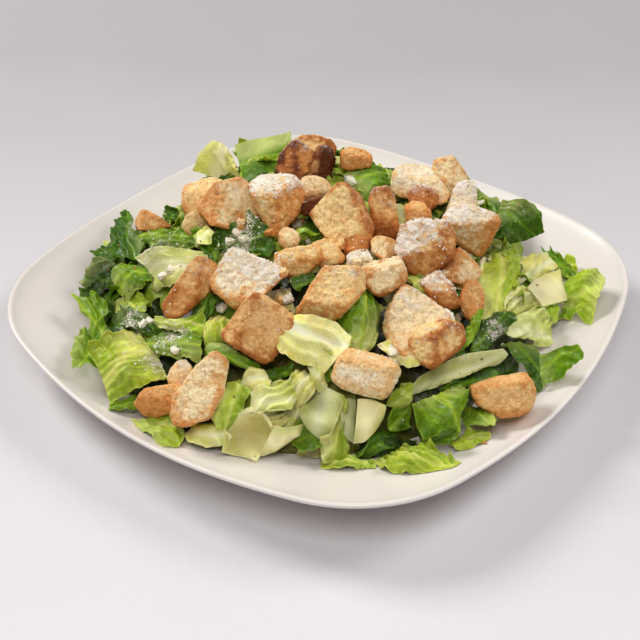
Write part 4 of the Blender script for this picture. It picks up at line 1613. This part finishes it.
# clumps that held together as the cheese fell: x, y, length
CLUMPS = [
    (-38, 2, 5), (-15, -44, 5), (-12, -47, 4), (-42, -45, 4.5), (12, 42, 5), (-13, 7, 5),
    (-35, -3, 4), (-41, -4, 4), (-76, -42, 4.5), (-73, -42, 3.5), (27, -64, 4.5),
    (18, -18, 4), (-70, -16, 4), (-67, -14, 3.5), (-60, -61, 3.5), (80, 78, 4), (-7, -8, 3),
]
clump_chance = np.random.default_rng(12)
clump_sheets = []
for k, (x, y, size) in enumerate(CLUMPS):
    points, quads = wedged(x, y, size, clump_chance, (1, 0.85, 0.5))
    normals = point_normals(points, quads)
    rough = 0.55 * lumps(points * 1000, 1.4, 3, CLUMP_SEED + k)
    rough = rough - 0.5 * pits(points * 1000, 1.4, CLUMP_SEED + k)
    clump_sheets.append((points + normals * rough[:, None] * 0.001, quads))
clump_points, clump_quads = joined(clump_sheets)
clumps = mesh_piece("parmesan_clumps", clump_points, clump_quads, parmesan.material)
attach(clumps, "root")
laid.append((clump_points, clump_quads))

# what the cheese falls on: every leaf, crouton, fragment and clump, and the plate
landing = surface_of(laid)

DROP_HEIGHT = 0.15
STEEPEST = 0.2
SHARD_SINK = 0.2
SHARD = np.array([[1, 0, 0], [-1, 0, 0], [0, 1, 0], [0, -1, 0], [0, 0, 1], [0, 0, -1.0]])
SHARD_FACES = np.array([
    [0, 2, 4], [2, 1, 4], [1, 3, 4], [3, 0, 4],
    [2, 0, 5], [1, 2, 5], [3, 1, 5], [0, 3, 5],
])


def strew(spots, sizes, chance, piles):
    """Small broken shards where spots (diner's x, y) fall, each lying on what is there."""
    sheets = []
    spots_row = in_row(np.column_stack([spots, np.zeros(len(spots))]))
    for spot, size, pile in zip(spots_row, sizes, piles):
        hit, normal, _, _ = landing.ray_cast(Vector((spot[0], spot[1], DROP_HEIGHT)), DOWN)
        if hit is None or abs(normal.z) < STEEPEST:
            continue
        if normal.z < 0:
            normal = -normal
        corners = SHARD * chance.uniform(0.55, 1.25, (6, 3)) * [size, size * 0.75, size * 0.5]
        spin = chance.uniform(0, 2 * math.pi)
        tilt = Vector((0, 0, 1)).rotation_difference(normal).to_matrix()
        jog = Matrix.Rotation(chance.uniform(-0.5, 0.5), 3, "X") @ Matrix.Rotation(spin, 3, "Z")
        turn = np.array(tilt @ jog)
        height = size * 0.5 * (1 - SHARD_SINK) + pile
        middle = np.array(hit) * 1000 + np.array(normal) * height
        sheets.append((corners @ turn.T + middle, SHARD_FACES))
    points, faces = joined(sheets)
    return points * 0.001, faces


DUST_COUNT = 1300
DUST_REACH = 0.97
cheese_chance = np.random.default_rng(21)
spots, sizes, piles = [], [], []
for x, y, spread, count in CHEESE_DRIFTS:
    away = cheese_chance.normal(size=(count, 2)) * spread * 0.5
    spots.append(away + [x, y])
    sizes.append(cheese_chance.uniform(0.25, 0.75, count))
    heaped = np.exp(-np.sum(away ** 2, axis=1) / spread ** 2 * 4)
    piles.append(cheese_chance.uniform(0, 0.7, count) * heaped)
dust_angle = cheese_chance.uniform(0, 2 * math.pi, DUST_COUNT)
dust_share = np.sqrt(cheese_chance.uniform(0, 1, DUST_COUNT)) * DUST_REACH
dust_r = dust_share * heap_reach(dust_angle)
dust_y = HEAP_MIDDLE_Y + dust_r * np.sin(dust_angle)
spots.append(np.stack([dust_r * np.cos(dust_angle), dust_y], 1))
sizes.append(cheese_chance.uniform(0.2, 0.55, DUST_COUNT))
piles.append(np.zeros(DUST_COUNT))
spots, sizes, piles = (np.concatenate(part) for part in (spots, sizes, piles))
grated_points, grated_faces = strew(spots, sizes, cheese_chance, piles)
grated = mesh_piece("parmesan_grated", grated_points, grated_faces, parmesan.material,
                    smooth=False)
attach(grated, "root")

# ---- crumbs ---------------------------------------------------------------------------
# What breaks off the croutons while the salad is tossed and served: small browned crumbs,
# lying on the leaves, with a few on the plate.
crumb_chance = np.random.default_rng(33)
CRUMB_COUNT = 150
CRUMB_REACH = 100
CRUMB_MIDDLE_Y = 8
crumb_angle = crumb_chance.uniform(0, 2 * math.pi, CRUMB_COUNT)
crumb_r = np.sqrt(crumb_chance.uniform(0, 1, CRUMB_COUNT)) * CRUMB_REACH
crumb_y = CRUMB_MIDDLE_Y + crumb_r * np.sin(crumb_angle)
crumb_spots = np.stack([crumb_r * np.cos(crumb_angle), crumb_y], 1)
# three that have fallen to the plate, the largest browned through
plate_crumbs = [[62.0, -99.0], [100.0, -55.0], [-26.0, -104.0]]
crumb_sizes = [*crumb_chance.uniform(0.3, 0.9, CRUMB_COUNT), 1.6, 0.8, 0.5]
crumb_points, crumb_faces = strew(np.vstack([crumb_spots, plate_crumbs]), crumb_sizes,
                                  crumb_chance, np.zeros(len(crumb_sizes)))
crumb_finish = Finish("browned_crumbs")
crumb_finish.set(
    Base_Color=crumb_finish.ramp(crumb_finish.grain(5, 3), [
        (0.35, linear(120, 72, 32)),
        (0.6, linear(196, 138, 70)),
    ]),
    Roughness=crumb_finish.varied(1, 2, 0.5, 0.8),
    Normal=crumb_finish.grained(0.4, 2, 0.15, 0.6),
)
crumbs = mesh_piece("browned_crumbs", crumb_points, crumb_faces, crumb_finish.material,
                    smooth=False)
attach(crumbs, "root")
